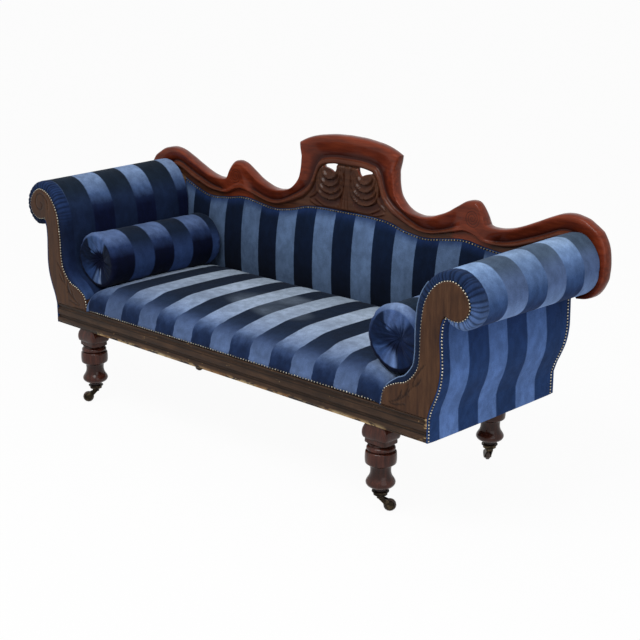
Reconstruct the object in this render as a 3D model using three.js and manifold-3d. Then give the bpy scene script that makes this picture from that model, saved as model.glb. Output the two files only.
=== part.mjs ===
// A double-ended scroll-arm sofa: a moulded and pierced serpentine crest over an upholstered back,
// two scrolled arms, a sprung seat, two bolsters, and four turned legs on swivel castors.
// Millimetres. X runs along the sofa, Y from its front to its back, Z up from the floor.
import * as THREE from 'three';
import { mergeVertices } from 'three/addons/utils/BufferGeometryUtils.js';
import Module from 'manifold-3d';

const wasm = await Module();
wasm.setup();

// Fits
const FIT = 0.3; // gap between two pieces that touch
const OVERRUN = 10; // how far a cutting solid passes the piece that it cuts
const WELD = 0.0005; // corners closer than this are one corner

// Seat frame
const RAIL_LENGTH = 1720;
const FRAME_DEPTH = 600; // front rail's face to back rail's face
const RAIL_HEIGHT = 71;
const FRONT_RAIL_THICKNESS = 50;
const BACK_RAIL_THICKNESS = 45;
const SIDE_RAIL_THICKNESS = 35;
const MOULDING_DEPTH = 9; // deepest hollow in the front rail's face
const CROSS_RAIL_WIDTH = 40;
const CROSS_RAIL_HEIGHT = 30;
const CROSS_RAIL_PLACE = 240; // from the sofa's middle to a cross rail's middle
const CORNER_BLOCK_SIZE = 60;
const CORNER_BLOCK_HEIGHT = 42;

// Legs
const LEG_LENGTH = 221;
const LEG_RADIUS = 46; // the thickest turned ring
const BLOCK_WIDTH = 96;
const BLOCK_DEPTH = 76;
const BLOCK_HEIGHT = 61;
const FOOT_RADIUS = 18;
const FOOT_LENGTH = 20;
const LEFT_LEG_INSET = 156; // from the rail's end to the leg's axis
const RIGHT_LEG_INSET = 198;
const LEG_SETBACK = 40; // from the frame's front or back to the leg's axis

// Castors
const WHEEL_RADIUS = 19;
const WHEEL_WIDTH = 14;
const CASTOR_TRAIL = 28; // from the swivel's axis to the axle
const AXLE_RADIUS = 2.5;
const CHEEK_THICKNESS = 3;
const CHEEK_EYE_RADIUS = 13;
const CHEEK_CLEARANCE = 1; // between a cheek and the wheel
const WHEEL_CLEARANCE = 3; // between the wheel and the boss above it
const BOSS_RADIUS = 11;
const BOSS_HEIGHT = 6;
const PIVOT_RADIUS = 4;
const CUP_FLOOR = 5;
const CUP_WALL = 2.2;
const CUP_HEIGHT = 17;
const CUP_LIP = 5; // how far the cup's flared rim stands out
const CASTOR_TURNS_DEG = { left_front: 225, right_front: 45, right_rear: 139, left_rear: 265 };

// Arms
const FACING_TOE = 168; // from the rail's end to the facing's inner foot
const FACING_REACH = 134; // from the rail's end to the outside of the scroll
const FACING_HEIGHT = 400;
const FACING_THICKNESS = 18;
const FACING_SETBACK = 2; // behind the front rail's face
const FACING_ROUNDING = 4;
const FRONT_POST_THICKNESS = 29.4;
const PAD_THICKNESS = 32;
const PAD_SETBACK = 8; // the arm pad's front edge behind the facing's face
const PAD_NOSE = 18; // depth of the pad's rounded front border
const PAD_PLEAT = 3.2; // depth of the border's pleats
const SIDE_PANEL_THICKNESS = 6;
const SIDE_PANEL_SETBACK = 3;
const ARM_RAIL_RADIUS = 36;
const ARM_LOWER_RAIL_WIDTH = 34;
const ARM_LOWER_RAIL_HEIGHT = 45;

// Back
const BACK_HEIGHT = 624; // from the rail's top to the crest's top
const BACK_RAKE_DEG = 3.7;
const CREST_OVERHANG = 42; // what the crest's end stands out past the arm's scroll
const CREST_THICKNESS = 50;
const CREST_RIM = 28; // from the crest's front to the back of its thin edge
const CREST_PROUD = 8; // the crest's back face behind the frame's back
const GROOVE_DEPTH = 14;
const CREST_DROP_WIDTH = 123; // from the crest's end in to the inner edge of its drop
const CREST_GAP = 1.2; // under the crest's lower edge
const REAR_POST_INSET = 27; // from the rail's end in to the rear post's inner edge
const STAY_WIDTH = 70;
const STAY_THICKNESS = 22;
const TACKING_RAIL_HEIGHT = 45;
const TACKING_RAIL_RISE = 65; // above the back rail
const BACK_PAD_FRONT = 36; // the back pad's edge in front of the frame's back
const BACK_PAD_CROWN = 9;
const BACK_PAD_TOP_FRONT = 28;
const BACK_PANEL_THICKNESS = 5;

// Seat
const SEAT_SIDE_GAP = 2; // between the seat's side and the arm facing's foot
const SEAT_FRONT = 9; // the seat's front edge behind the rail's face
const SEAT_BULGE = 6; // how far its front swells past that edge
const SEAT_RISE = 84; // edge of the seat's top above the rail
const SEAT_CROWN = 27;
const SEAT_ROUNDING = 55; // radius over the front edge
const SEAT_SIDE_ROUNDING = 70;
const SEAT_SIDE_DROP = 40;
const WEBBING_WIDTH = 50;
const WEBBING_THICKNESS = 2;
const WEBBING_LAP = 22; // what of a strap lies on a rail
const WEBS_ACROSS = 9;
const WEBS_ALONG = 3;

// Bolsters
const BOLSTER_RADIUS = 101;
const BOLSTER_FRONT = 54; // behind the front rail's face
const BOLSTER_BACK = 46; // in front of the frame's back
const BOLSTER_DIMPLE = 22;
const BOLSTER_PLEAT = 3;
const BOLSTER_PLEATS = 8;

// Heights and places that follow from the sizes
const wheelTop = 2 * WHEEL_RADIUS;
const bossBottom = wheelTop + WHEEL_CLEARANCE;
const cupBottom = bossBottom + BOSS_HEIGHT + FIT;
const footEnd = cupBottom + CUP_FLOOR + FIT;
const railBottom = footEnd + LEG_LENGTH + FIT;
const railTop = railBottom + RAIL_HEIGHT;
const armBase = railTop + FIT;
const railHalf = RAIL_LENGTH / 2;
const rake = Math.tan(THREE.MathUtils.degToRad(BACK_RAKE_DEG));
const rearMost = FRAME_DEPTH + BACK_HEIGHT * rake + CREST_PROUD;
const frontMost = Math.min(LEG_SETBACK - LEG_RADIUS, 0);
const crestFront = CREST_PROUD - CREST_THICKNESS;
const seatBack = FRAME_DEPTH - BACK_PAD_FRONT - FIT;
const seatHalfWidth = railHalf - FACING_TOE - SEAT_SIDE_GAP;
const crestHalfLength = railHalf + FACING_REACH + CREST_OVERHANG;
const earInner = crestHalfLength - CREST_DROP_WIDTH;
const bolsterLength = FRAME_DEPTH - BOLSTER_FRONT - BOLSTER_BACK;

// Steps round a form
const LEG_STEPS = 20;
const TURN_STEPS = 16;
const PIN_STEPS = 10;
const EYE_STEPS = 8;
const EYE_TURN = 1.3; // half turns of a cheek's round eye, from its rear round below the axle

// Outlines, as shares of the sizes that they follow

// Front rail's face from its underside up: [hollow, height] as shares of the moulding's depth and the rail
const railMouldingShares = [
  [0.5, 0], [0.45, 0.06], [0.1, 0.1], [0, 0.16], [0.1, 0.23], [0.5, 0.27], [0.95, 0.33], [0.9, 0.4],
  [0.4, 0.44], [0.4, 0.68], [0.6, 0.74], [1, 0.79], [0.9, 0.86], [0.45, 0.9], [0.3, 0.94], [0.35, 0.98],
  [0.6, 1],
];

// Turned part of a leg from the foot up: [height, radius]
const legTurningShares = [
  [0.01, 0.42], [0.03, 0.62], [0.065, 0.83], [0.12, 0.945], [0.17, 0.94], [0.225, 0.85], [0.28, 0.745],
  [0.36, 0.675], [0.46, 0.675], [0.535, 0.75], [0.545, 0.86], [0.585, 1], [0.82, 1], [0.845, 0.92],
  [0.85, 0.86], [0.885, 0.93], [0.93, 0.91], [0.955, 0.82], [0.965, 0.765],
];

// Squared block over the turning from its bottom up: [height, size], with the squareness of its corners
const legBlockShares = [
  [0, 0.76], [0.04, 0.84], [0.25, 0.85], [0.29, 0.94], [0.45, 1], [0.68, 0.98], [0.87, 0.89], [1, 0.8],
];
const BLOCK_SQUARENESS = 8;

// Arm facing: inner edge from the foot, over the scroll and round to the notch, then the outer edge down
const facingInnerShares = [
  [0, 0], [0.007, 0.073], [0.036, 0.13], [0.109, 0.165], [0.192, 0.193], [0.278, 0.213], [0.358, 0.26],
  [0.427, 0.335], [0.45, 0.423], [0.455, 0.52], [0.457, 0.6], [0.47, 0.71], [0.497, 0.815], [0.56, 0.903],
  [0.639, 0.965], [0.735, 0.998], [0.835, 1], [0.925, 0.96], [0.983, 0.905], [1, 0.84], [0.97, 0.785],
  [0.9, 0.748], [0.821, 0.74], [0.728, 0.757],
];
const facingOuterShares = [
  [0.728, 0.757], [0.695, 0.705], [0.681, 0.6], [0.689, 0.48], [0.695, 0.36], [0.675, 0.248], [0.632, 0.155],
  [0.589, 0.08], [0.5563, 0],
];

// Where the arm pad starts on the facing's inner edge, and the underside of the scroll's curl
const padStartShare = 0.062;
const padPleatShare = 0.36; // of the pad's path, where its border's pleats start
const curlShare = 0.74;
const panelTopShare = 0.6; // of the way down from the notch to the outline's next point

// Arm pad's thickness along its path from foot to notch, at the front and at the crest: [path, thickness]
const padFrontShares = [
  [0, 0.05], [0.05, 0.3], [0.1, 0.52], [0.17, 0.72], [0.25, 0.82], [0.36, 0.86], [0.5, 0.97], [0.715, 0.97],
  [0.845, 1.31], [0.93, 0.95], [0.975, 0.5], [1, 0.15],
];
const padRearShares = [
  [0, 0.05], [0.05, 0.3], [0.1, 0.52], [0.17, 0.72], [0.25, 0.82], [0.36, 0.88], [0.5, 1.02], [0.6, 1.12],
  [0.715, 1.28], [0.845, 0.62], [0.93, 1.1], [0.975, 0.6], [1, 0.15],
];

// Rounded front border of the arm pad: [depth, thickness, how strongly it is pleated]
const padNoseShares = [[0, 0.45, 0.5], [0.08, 0.7, 1], [0.28, 0.88, 1], [0.6, 0.97, 0.4], [1, 1, 0]];

// Half of the crest, as shares of its half length and of the back's height
const crestArchShares = [
  [0, 1], [0.066, 0.996], [0.093, 0.991], [0.12, 0.985], [0.146, 0.978], [0.173, 0.966], [0.199, 0.95],
  [0.219, 0.934],
];
const crestSideShares = [
  [0.219, 0.934], [0.217, 0.912], [0.213, 0.89], [0.208, 0.864], [0.208, 0.838], [0.208, 0.813],
  [0.209, 0.787], [0.211, 0.761], [0.215, 0.737], [0.224, 0.713], [0.235, 0.692], [0.247, 0.675],
  [0.263, 0.661], [0.28, 0.652], [0.299, 0.647], [0.32, 0.644], [0.343, 0.647], [0.365, 0.654],
  [0.388, 0.667], [0.41, 0.681], [0.432, 0.699], [0.452, 0.72], [0.471, 0.739], [0.489, 0.757],
  [0.503, 0.765], [0.517, 0.768], [0.534, 0.764], [0.546, 0.747], [0.556, 0.725], [0.564, 0.7],
  [0.569, 0.678], [0.575, 0.66],
];
const crestWingShares = [
  [0.575, 0.66], [0.591, 0.653], [0.613, 0.652], [0.632, 0.654], [0.652, 0.66], [0.674, 0.669],
  [0.695, 0.681], [0.717, 0.695], [0.739, 0.711], [0.763, 0.728], [0.785, 0.745], [0.808, 0.761],
  [0.83, 0.775], [0.851, 0.783], [0.874, 0.785], [0.898, 0.779], [0.922, 0.768], [0.941, 0.75],
  [0.958, 0.733], [0.969, 0.72], [0.979, 0.697], [0.988, 0.67], [0.994, 0.641], [0.998, 0.604],
  [1, 0.569], [1, 0.553],
];
const crestEarShares = [
  [1, 0.553], [0.999, 0.524], [0.998, 0.505], [0.992, 0.478], [0.982, 0.447], [0.967, 0.42],
  [0.946, 0.402], [0.917, 0.396],
];

// Dark groove inside the crest's moulding, for the arch, the side with its small scroll, the wing and the drop
const grooveArchShares = [[0, 0.885], [0.049, 0.884], [0.093, 0.876], [0.126, 0.86], [0.144, 0.826]];
const grooveSideShares = [
  [0.144, 0.826], [0.149, 0.806], [0.154, 0.785], [0.16, 0.76], [0.167, 0.736], [0.177, 0.712],
  [0.194, 0.686], [0.218, 0.659], [0.246, 0.634], [0.277, 0.609], [0.312, 0.587], [0.346, 0.58],
  [0.38, 0.586], [0.413, 0.6], [0.44, 0.615], [0.462, 0.628], [0.479, 0.64], [0.493, 0.648],
  [0.507, 0.648], [0.521, 0.642], [0.537, 0.632], [0.548, 0.62], [0.557, 0.608],
];
const grooveWingShares = [
  [0.557, 0.608], [0.571, 0.597], [0.599, 0.588], [0.637, 0.592], [0.674, 0.606], [0.709, 0.625],
  [0.745, 0.646], [0.778, 0.667], [0.808, 0.688], [0.833, 0.703], [0.856, 0.707], [0.877, 0.7],
  [0.896, 0.683], [0.912, 0.66], [0.923, 0.631], [0.931, 0.598], [0.935, 0.565], [0.936, 0.553],
];

// Crest's lower edge, the line where the cover is nailed: [length, height], from the middle outwards
const crestLowerShares = [
  [0, 0.591], [0.059, 0.59], [0.124, 0.588], [0.17, 0.583], [0.202, 0.573], [0.237, 0.556],
  [0.272, 0.545], [0.311, 0.536], [0.348, 0.535], [0.386, 0.543], [0.427, 0.553], [0.468, 0.5625],
  [0.507, 0.5625], [0.542, 0.553], [0.594, 0.5415], [0.642, 0.535], [0.676, 0.5385], [0.713, 0.5545],
  [0.753, 0.577], [0.798, 0.607], [0.844, 0.644],
];

// Face of the crest, a rounded edge and a broad cove: [way from edge to groove, set back from the front]
const crestMouldShares = [[0, 1], [0.04, 0.4], [0.12, 0.05], [0.24, 0.04], [0.5, 0.4], [0.9, 1], [1, 1.15]];

// Its bead and its sunk field: [way from groove to lower edge, set back from the front]
const crestFieldShares = [[0.06, 1.1], [0.16, 0.45], [0.27, 0.55], [0.32, 1.1], [1, 1.15]];

// Depth of the cove and the bead, which run out on the small scrolls: [length, depth]
const grooveFadeShares = [[0.434, 1], [0.483, 0.25], [0.565, 0.25], [0.618, 1]];
const thumbShare = 0.2; // of the way from edge to groove, where the rounded edge ends
const beadShare = 0.3; // of the way from groove to lower edge, where the bead ends
const crestBevelShare = 0.3; // of the way from edge to groove, where the bevel behind the edge ends

const dropGrooveShare = 0.52; // of a drop's width, where its groove runs

// One of the two pierced holes of the crest: [length, height]
const pierceShares = [
  [0.048, 0.838], [0.078, 0.836], [0.102, 0.826], [0.109, 0.818], [0.089, 0.81], [0.074, 0.803],
  [0.06, 0.793], [0.05, 0.81],
];

// Bolster's end from its dimple out to the full body: [way in from the end, radius], then the pleats' strength
const bolsterEndShares = [
  [1, 0.06], [0.7, 0.12], [0.3, 0.3], [0.06, 0.58], [0, 0.78], [0.14, 0.9], [0.6, 0.975], [1.7, 1],
];
const bolsterPleatShares = [0, 0.3, 1, 0.9, 0.5, 0.25, 0, 0];
const bolsterMiddleShare = 1.02;

// Colours and finishes
const MAHOGANY = { color: 0x6b2f1c, roughness: 0.3, metalness: 0 };
const DARK_WOOD = { color: 0x463225, roughness: 0.6, metalness: 0 };
const LEG_WOOD = { color: 0x3c211a, roughness: 0.38, metalness: 0 };
const BEECH = { color: 0xa98458, roughness: 0.75, metalness: 0 };
const VELVET = { color: 0x3a4d70, roughness: 0.9, metalness: 0 };
const WEBBING = { color: 0x9a8765, roughness: 0.95, metalness: 0 };
const IRON = { color: 0x3b3630, roughness: 0.5, metalness: 0.85 };
const WHEEL_BROWN = { color: 0x4a3a2c, roughness: 0.55, metalness: 0.1 };

const sofa = new THREE.Group();
sofa.position.y = -(frontMost + rearMost) / 2;

// Solids

function facesOut(geometry) {
  const p = geometry.getAttribute('position');
  const index = geometry.index.array;
  const [a, b, c] = [new THREE.Vector3(), new THREE.Vector3(), new THREE.Vector3()];
  let volume = 0;
  for (let i = 0; i < index.length; i += 3) {
    a.fromBufferAttribute(p, index[i]);
    b.fromBufferAttribute(p, index[i + 1]);
    c.fromBufferAttribute(p, index[i + 2]);
    volume += a.dot(b.cross(c));
  }
  if (volume < 0) {
    for (let i = 0; i < index.length; i += 3) {
      [index[i], index[i + 1]] = [index[i + 1], index[i]];
    }
  }
  geometry.computeVertexNormals();
  return geometry;
}

// Faces over a flat or nearly flat ring, which may be hollow-sided
function capFaces(ring, first, forward) {
  const normal = new THREE.Vector3();
  ring.forEach((point, i) => normal.add(point.clone().cross(ring[(i + 1) % ring.length])));
  normal.normalize();
  const level = Math.abs(normal.z) > Math.abs(normal.x);
  const side = level ? new THREE.Vector3(1, 0, 0) : new THREE.Vector3(0, 0, 1);
  const u = side.cross(normal).normalize();
  const v = normal.clone().cross(u);
  const flat = ring.map((point) => new THREE.Vector2(point.dot(u), point.dot(v)));
  return THREE.ShapeUtils.triangulateShape(flat, []).map(([i, j, k]) => {
    const turn = flat[j].clone().sub(flat[i]).cross(flat[k].clone().sub(flat[i]));
    const face = turn > 0 === forward ? [i, j, k] : [i, k, j];
    return face.map((corner) => first + corner);
  });
}

// A closed solid whose surface runs over rings with equal numbers of points
function skin(rings) {
  const count = rings[0].length;
  const faces = [];
  for (let i = 0; i < rings.length - 1; i += 1) {
    for (let j = 0; j < count; j += 1) {
      const k = (j + 1) % count;
      const [a, b] = [i * count, (i + 1) * count];
      faces.push([a + j, b + j, b + k], [a + j, b + k, a + k]);
    }
  }
  faces.push(...capFaces(rings[0], 0, true));
  faces.push(...capFaces(rings.at(-1), (rings.length - 1) * count, false));
  const geometry = new THREE.BufferGeometry();
  const positions = rings.flat().flatMap((point) => point.toArray());
  geometry.setAttribute('position', new THREE.Float32BufferAttribute(positions, 3));
  geometry.setIndex(faces.flat());
  return facesOut(geometry);
}

// A profile of [radius, height] points turned about the Z axis
function turned(profile, steps = TURN_STEPS) {
  const points = profile.map(([radius, height]) => new THREE.Vector2(radius, height));
  return facesOut(new THREE.LatheGeometry(points, steps).rotateX(Math.PI / 2));
}

// An outline of [y, z] points run along X between two places
function alongX(outline, start, end) {
  const shape = new THREE.Shape(outline.map(([y, z]) => new THREE.Vector2(y, z)));
  const axes = new THREE.Matrix4().makeBasis(
    new THREE.Vector3(0, 1, 0), new THREE.Vector3(0, 0, 1), new THREE.Vector3(1, 0, 0),
  );
  return new THREE.ExtrudeGeometry(shape, { depth: end - start, bevelEnabled: false })
    .applyMatrix4(axes)
    .translate(start, 0, 0);
}

// A block between two corners
function block(low, high) {
  const size = high.map((value, i) => value - low[i]);
  const middle = high.map((value, i) => (value + low[i]) / 2);
  return new THREE.BoxGeometry(...size).translate(...middle);
}

function solidOf(geometry) {
  const bare = geometry.clone();
  bare.deleteAttribute('normal');
  bare.deleteAttribute('uv');
  const merged = mergeVertices(bare, WELD);
  const triVerts = new Uint32Array(merged.index.array);
  const vertProperties = merged.getAttribute('position').array;
  return new wasm.Manifold(new wasm.Mesh({ numProp: 3, vertProperties, triVerts }));
}

function geometryOf(solid) {
  const { vertProperties, triVerts } = solid.getMesh();
  const geometry = new THREE.BufferGeometry();
  geometry.setAttribute('position', new THREE.BufferAttribute(vertProperties, 3));
  geometry.setIndex(new THREE.BufferAttribute(triVerts, 1));
  geometry.computeVertexNormals();
  return geometry;
}

function add(parent, name, geometry, finish) {
  const mesh = new THREE.Mesh(geometry, new THREE.MeshStandardMaterial(finish));
  mesh.name = name;
  parent.add(mesh);
  return mesh;
}

// Curves

function flatPoints(shares, width, height, x, z) {
  return shares.map(([across, up]) => new THREE.Vector2(x + across * width, z + up * height));
}

// Even steps along a smooth curve through the points
function smooth(points, steps) {
  const places = points.map((p) => new THREE.Vector3(p.x, p.y, 0));
  const curve = new THREE.CatmullRomCurve3(places, false, 'centripetal');
  return curve.getSpacedPoints(steps).map((p) => new THREE.Vector2(p.x, p.y));
}

// Value of a table of [place, value] pairs at a place
function tableAt(table, place) {
  const next = table.findIndex(([at]) => at >= place);
  if (next < 0) return table.at(-1)[1];
  if (next === 0) return table[0][1];
  const [[from, low], [to, high]] = [table[next - 1], table[next]];
  return low + (high - low) * ((place - from) / (to - from));
}

// Unit normals to the left of a path
function leftNormals(path) {
  return path.map((_, i) => {
    const way = path[Math.min(i + 1, path.length - 1)].clone().sub(path[Math.max(i - 1, 0)]).normalize();
    return new THREE.Vector2(-way.y, way.x);
  });
}

// A closed outline drawn inwards; the outline runs clockwise, so its inside is on the right
function drawnIn(outline, inset) {
  return outline.map((point, i) => {
    const before = outline[(i + outline.length - 1) % outline.length];
    const after = outline[(i + 1) % outline.length];
    const a = point.clone().sub(before).normalize();
    const b = after.clone().sub(point).normalize();
    const right = new THREE.Vector2(a.y + b.y, -a.x - b.x).normalize();
    return point.clone().addScaledVector(right, inset);
  });
}

// A point of the back: x, z, and how far it lies behind the frame's back, which is raked above the rails
function raked(x, z, behind) {
  return new THREE.Vector3(x, FRAME_DEPTH + Math.max(z - railTop, 0) * rake + behind, z);
}

function atDepth(point, y) {
  return new THREE.Vector3(point.x, y, point.y);
}

// Seat frame

function frontRail() {
  const face = railMouldingShares.map(([hollow, up]) => (
    [hollow * MOULDING_DEPTH, railBottom + up * RAIL_HEIGHT]
  ));
  const back = [[FRONT_RAIL_THICKNESS, railTop], [FRONT_RAIL_THICKNESS, railBottom]];
  return alongX([...face, ...back], -railHalf, railHalf);
}

function addSeatFrame() {
  const back = FRAME_DEPTH - BACK_RAIL_THICKNESS;
  const inner = railHalf - SIDE_RAIL_THICKNESS;
  const [front, rear] = [FRONT_RAIL_THICKNESS + FIT, back - FIT];
  add(sofa, 'front_rail', frontRail(), DARK_WOOD);
  add(sofa, 'back_rail', block([-railHalf, back, railBottom], [railHalf, FRAME_DEPTH, railTop]), BEECH);
  for (const [side, name] of [[-1, 'left'], [1, 'right']]) {
    const rail = block([inner, front, railBottom], [railHalf, rear, railTop]);
    add(mirrored(side), `${name}_side_rail`, rail, BEECH);
    const x = CROSS_RAIL_PLACE - CROSS_RAIL_WIDTH / 2;
    const cross = block([x, front, railBottom], [x + CROSS_RAIL_WIDTH, rear, railBottom + CROSS_RAIL_HEIGHT]);
    add(mirrored(side), `${name}_cross_rail`, cross, BEECH);
    add(mirrored(side), `${name}_front_corner_block`, cornerBlock(inner, front, 1), BEECH);
    add(mirrored(side), `${name}_rear_corner_block`, cornerBlock(inner, rear, -1), BEECH);
  }
}

// A three-cornered brace in the corner at x, y; way is 1 where the frame lies behind the corner
function cornerBlock(x, y, way) {
  const low = railTop - RAIL_HEIGHT / 2 - CORNER_BLOCK_HEIGHT / 2;
  const corner = [[x - FIT, y], [x - CORNER_BLOCK_SIZE, y], [x - FIT, y + way * CORNER_BLOCK_SIZE]];
  const level = (z) => corner.map(([cx, cy]) => new THREE.Vector3(cx, cy, z));
  return skin([level(low), level(low + CORNER_BLOCK_HEIGHT)]);
}

// A group whose children are built for the right side, turned over for the left
function mirrored(side) {
  const group = new THREE.Group();
  group.scale.x = side;
  sofa.add(group);
  return group;
}

// Middles of equal parts of a range
function middles([low, high], count) {
  return Array.from({ length: count }, (_, i) => low + ((high - low) * (i + 0.5)) / count);
}

// A lattice of crossing straps, made cell by cell: every second column or row of cells is a strap
function webbing() {
  const half = WEBBING_WIDTH / 2;
  const top = railBottom - FIT;
  const bottom = top - WEBBING_THICKNESS;
  const endX = railHalf - SIDE_RAIL_THICKNESS + WEBBING_LAP;
  const ends = [FRONT_RAIL_THICKNESS - WEBBING_LAP, FRAME_DEPTH - BACK_RAIL_THICKNESS + WEBBING_LAP];
  const clear = BLOCK_WIDTH / 2 + OVERRUN;
  const inside = LEG_SETBACK + BLOCK_DEPTH / 2;
  const across = middles([-railHalf + LEFT_LEG_INSET + clear, railHalf - RIGHT_LEG_INSET - clear], WEBS_ACROSS);
  const along = middles([inside, FRAME_DEPTH - inside], WEBS_ALONG);
  const xs = [-endX, ...across.flatMap((x) => [x - half, x + half]), endX];
  const ys = [ends[0], ...along.flatMap((y) => [y - half, y + half]), ends[1]];
  const filled = (i, j) => xs[i] < endX && ys[j] < ends[1] && (i % 2 === 1 || j % 2 === 1);
  const points = [];
  const quad = (a, b, c, d) => points.push(...[a, b, c, a, c, d].flat());
  for (let i = 0; i < xs.length - 1; i += 1) {
    for (let j = 0; j < ys.length - 1; j += 1) {
      if (!filled(i, j)) continue;
      const corners = [[xs[i], ys[j]], [xs[i + 1], ys[j]], [xs[i + 1], ys[j + 1]], [xs[i], ys[j + 1]]];
      quad(...corners.map(([x, y]) => [x, y, top]));
      quad(...corners.map(([x, y]) => [x, y, bottom]).reverse());
      [[i, j - 1], [i + 1, j], [i, j + 1], [i - 1, j]].forEach((beside, side) => {
        if (filled(...beside)) return;
        const [from, to] = [corners[side], corners[(side + 1) % corners.length]];
        quad([...from, bottom], [...to, bottom], [...to, top], [...from, top]);
      });
    }
  }
  const geometry = new THREE.BufferGeometry();
  geometry.setAttribute('position', new THREE.Float32BufferAttribute(points, 3));
  return facesOut(mergeVertices(geometry, WELD));
}

// Legs

// A level ring of a leg, from a circle to a square with rounded corners as squareness grows from 2
function legRing(halfWidth, halfDepth, z, squareness = 2) {
  return Array.from({ length: LEG_STEPS }, (_, i) => {
    const angle = (2 * Math.PI * i) / LEG_STEPS;
    const [c, s] = [Math.cos(angle), Math.sin(angle)];
    const x = halfWidth * Math.sign(c) * Math.abs(c) ** (2 / squareness);
    const y = halfDepth * Math.sign(s) * Math.abs(s) ** (2 / squareness);
    return new THREE.Vector3(x, y, z);
  });
}

function leg() {
  const turningBottom = footEnd + FOOT_LENGTH;
  const blockBottom = footEnd + LEG_LENGTH - BLOCK_HEIGHT;
  const foot = [footEnd, turningBottom].map((z) => legRing(FOOT_RADIUS, FOOT_RADIUS, z));
  const turning = legTurningShares.map(([up, wide]) => {
    const z = turningBottom + up * (blockBottom - turningBottom);
    return legRing(wide * LEG_RADIUS, wide * LEG_RADIUS, z);
  });
  const square = legBlockShares.map(([up, wide]) => {
    const z = blockBottom + up * BLOCK_HEIGHT;
    return legRing((wide * BLOCK_WIDTH) / 2, (wide * BLOCK_DEPTH) / 2, z, BLOCK_SQUARENESS);
  });
  return skin([...foot, ...turning, ...square]);
}

function castorCup() {
  const bore = PIVOT_RADIUS + FIT;
  const inside = (FOOT_RADIUS + FIT) / Math.cos(Math.PI / TURN_STEPS); // its flats clear the round foot
  const outside = inside + CUP_WALL;
  const floor = cupBottom + CUP_FLOOR;
  const rim = cupBottom + CUP_HEIGHT;
  return turned([
    [bore, cupBottom], [BOSS_RADIUS, cupBottom], [outside, floor], [outside, rim - 2 * CUP_WALL],
    [outside + CUP_LIP, rim - CUP_WALL], [outside + CUP_LIP, rim], [inside, rim], [inside, floor],
    [bore, floor], [bore, cupBottom],
  ]);
}

// Boss, pivot pin and two cheeks in one casting; the wheel trails along X
function castorHorn() {
  const pinTop = cupBottom + CUP_FLOOR;
  const stem = turned([
    [0, bossBottom], [BOSS_RADIUS, bossBottom], [BOSS_RADIUS, bossBottom + BOSS_HEIGHT],
    [PIVOT_RADIUS, bossBottom + BOSS_HEIGHT], [PIVOT_RADIUS, pinTop], [0, pinTop],
  ], PIN_STEPS);
  const inner = WHEEL_WIDTH / 2 + CHEEK_CLEARANCE;
  const eye = Array.from({ length: EYE_STEPS + 1 }, (_, i) => {
    const angle = Math.PI * (1 + (i / EYE_STEPS) * EYE_TURN);
    const [x, z] = [CHEEK_EYE_RADIUS * Math.cos(angle), CHEEK_EYE_RADIUS * Math.sin(angle)];
    return [CASTOR_TRAIL + x, WHEEL_RADIUS + z];
  });
  const outline = [
    [-BOSS_RADIUS / 2, bossBottom + BOSS_HEIGHT], [-BOSS_RADIUS / 2, bossBottom], ...eye,
    [BOSS_RADIUS, bossBottom], [BOSS_RADIUS, bossBottom + BOSS_HEIGHT],
  ];
  const cheek = (y) => solidOf(skin(
    [y, y + CHEEK_THICKNESS].map((depth) => outline.map(([x, z]) => new THREE.Vector3(x, depth, z))),
  ));
  const bridge = block(
    [-BOSS_RADIUS / 2, -inner - CHEEK_THICKNESS, bossBottom],
    [BOSS_RADIUS, inner + CHEEK_THICKNESS, bossBottom + BOSS_HEIGHT],
  );
  const width = 2 * (inner + CHEEK_THICKNESS + OVERRUN);
  const hole = new THREE.CylinderGeometry(AXLE_RADIUS + FIT, AXLE_RADIUS + FIT, width, PIN_STEPS);
  return geometryOf(
    solidOf(stem).add(solidOf(bridge)).add(cheek(inner)).add(cheek(-inner - CHEEK_THICKNESS))
      .subtract(solidOf(hole.translate(CASTOR_TRAIL, 0, WHEEL_RADIUS))),
  );
}

function castorAxle() {
  const length = WHEEL_WIDTH + 2 * (CHEEK_CLEARANCE + CHEEK_THICKNESS);
  return new THREE.CylinderGeometry(AXLE_RADIUS, AXLE_RADIUS, length, PIN_STEPS)
    .translate(CASTOR_TRAIL, 0, WHEEL_RADIUS);
}

function castorWheel() {
  const half = WHEEL_WIDTH / 2;
  const bore = AXLE_RADIUS + FIT;
  const side = WHEEL_RADIUS - half / 2;
  return turned([
    [bore, -half], [side, -half], [WHEEL_RADIUS, -half / 2], [WHEEL_RADIUS, half / 2], [side, half],
    [bore, half], [bore, -half],
  ]).rotateX(Math.PI / 2).translate(CASTOR_TRAIL, 0, WHEEL_RADIUS);
}

function addLegs() {
  const places = {
    left_front: [-railHalf + LEFT_LEG_INSET, LEG_SETBACK],
    right_front: [railHalf - RIGHT_LEG_INSET, LEG_SETBACK],
    left_rear: [-railHalf + LEFT_LEG_INSET, FRAME_DEPTH - LEG_SETBACK],
    right_rear: [railHalf - RIGHT_LEG_INSET, FRAME_DEPTH - LEG_SETBACK],
  };
  for (const [name, [x, y]] of Object.entries(places)) {
    const stand = new THREE.Group();
    stand.position.set(x, y, 0);
    sofa.add(stand);
    add(stand, `${name}_leg`, leg(), LEG_WOOD);
    const castor = new THREE.Group();
    castor.rotation.z = THREE.MathUtils.degToRad(CASTOR_TURNS_DEG[name]);
    stand.add(castor);
    add(castor, `${name}_castor_cup`, castorCup(), IRON);
    add(castor, `${name}_castor_horn`, castorHorn(), IRON);
    add(castor, `${name}_castor_axle`, castorAxle(), IRON);
    add(castor, `${name}_castor_wheel`, castorWheel(), WHEEL_BROWN);
  }
}

// Arms, built for the right end

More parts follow.
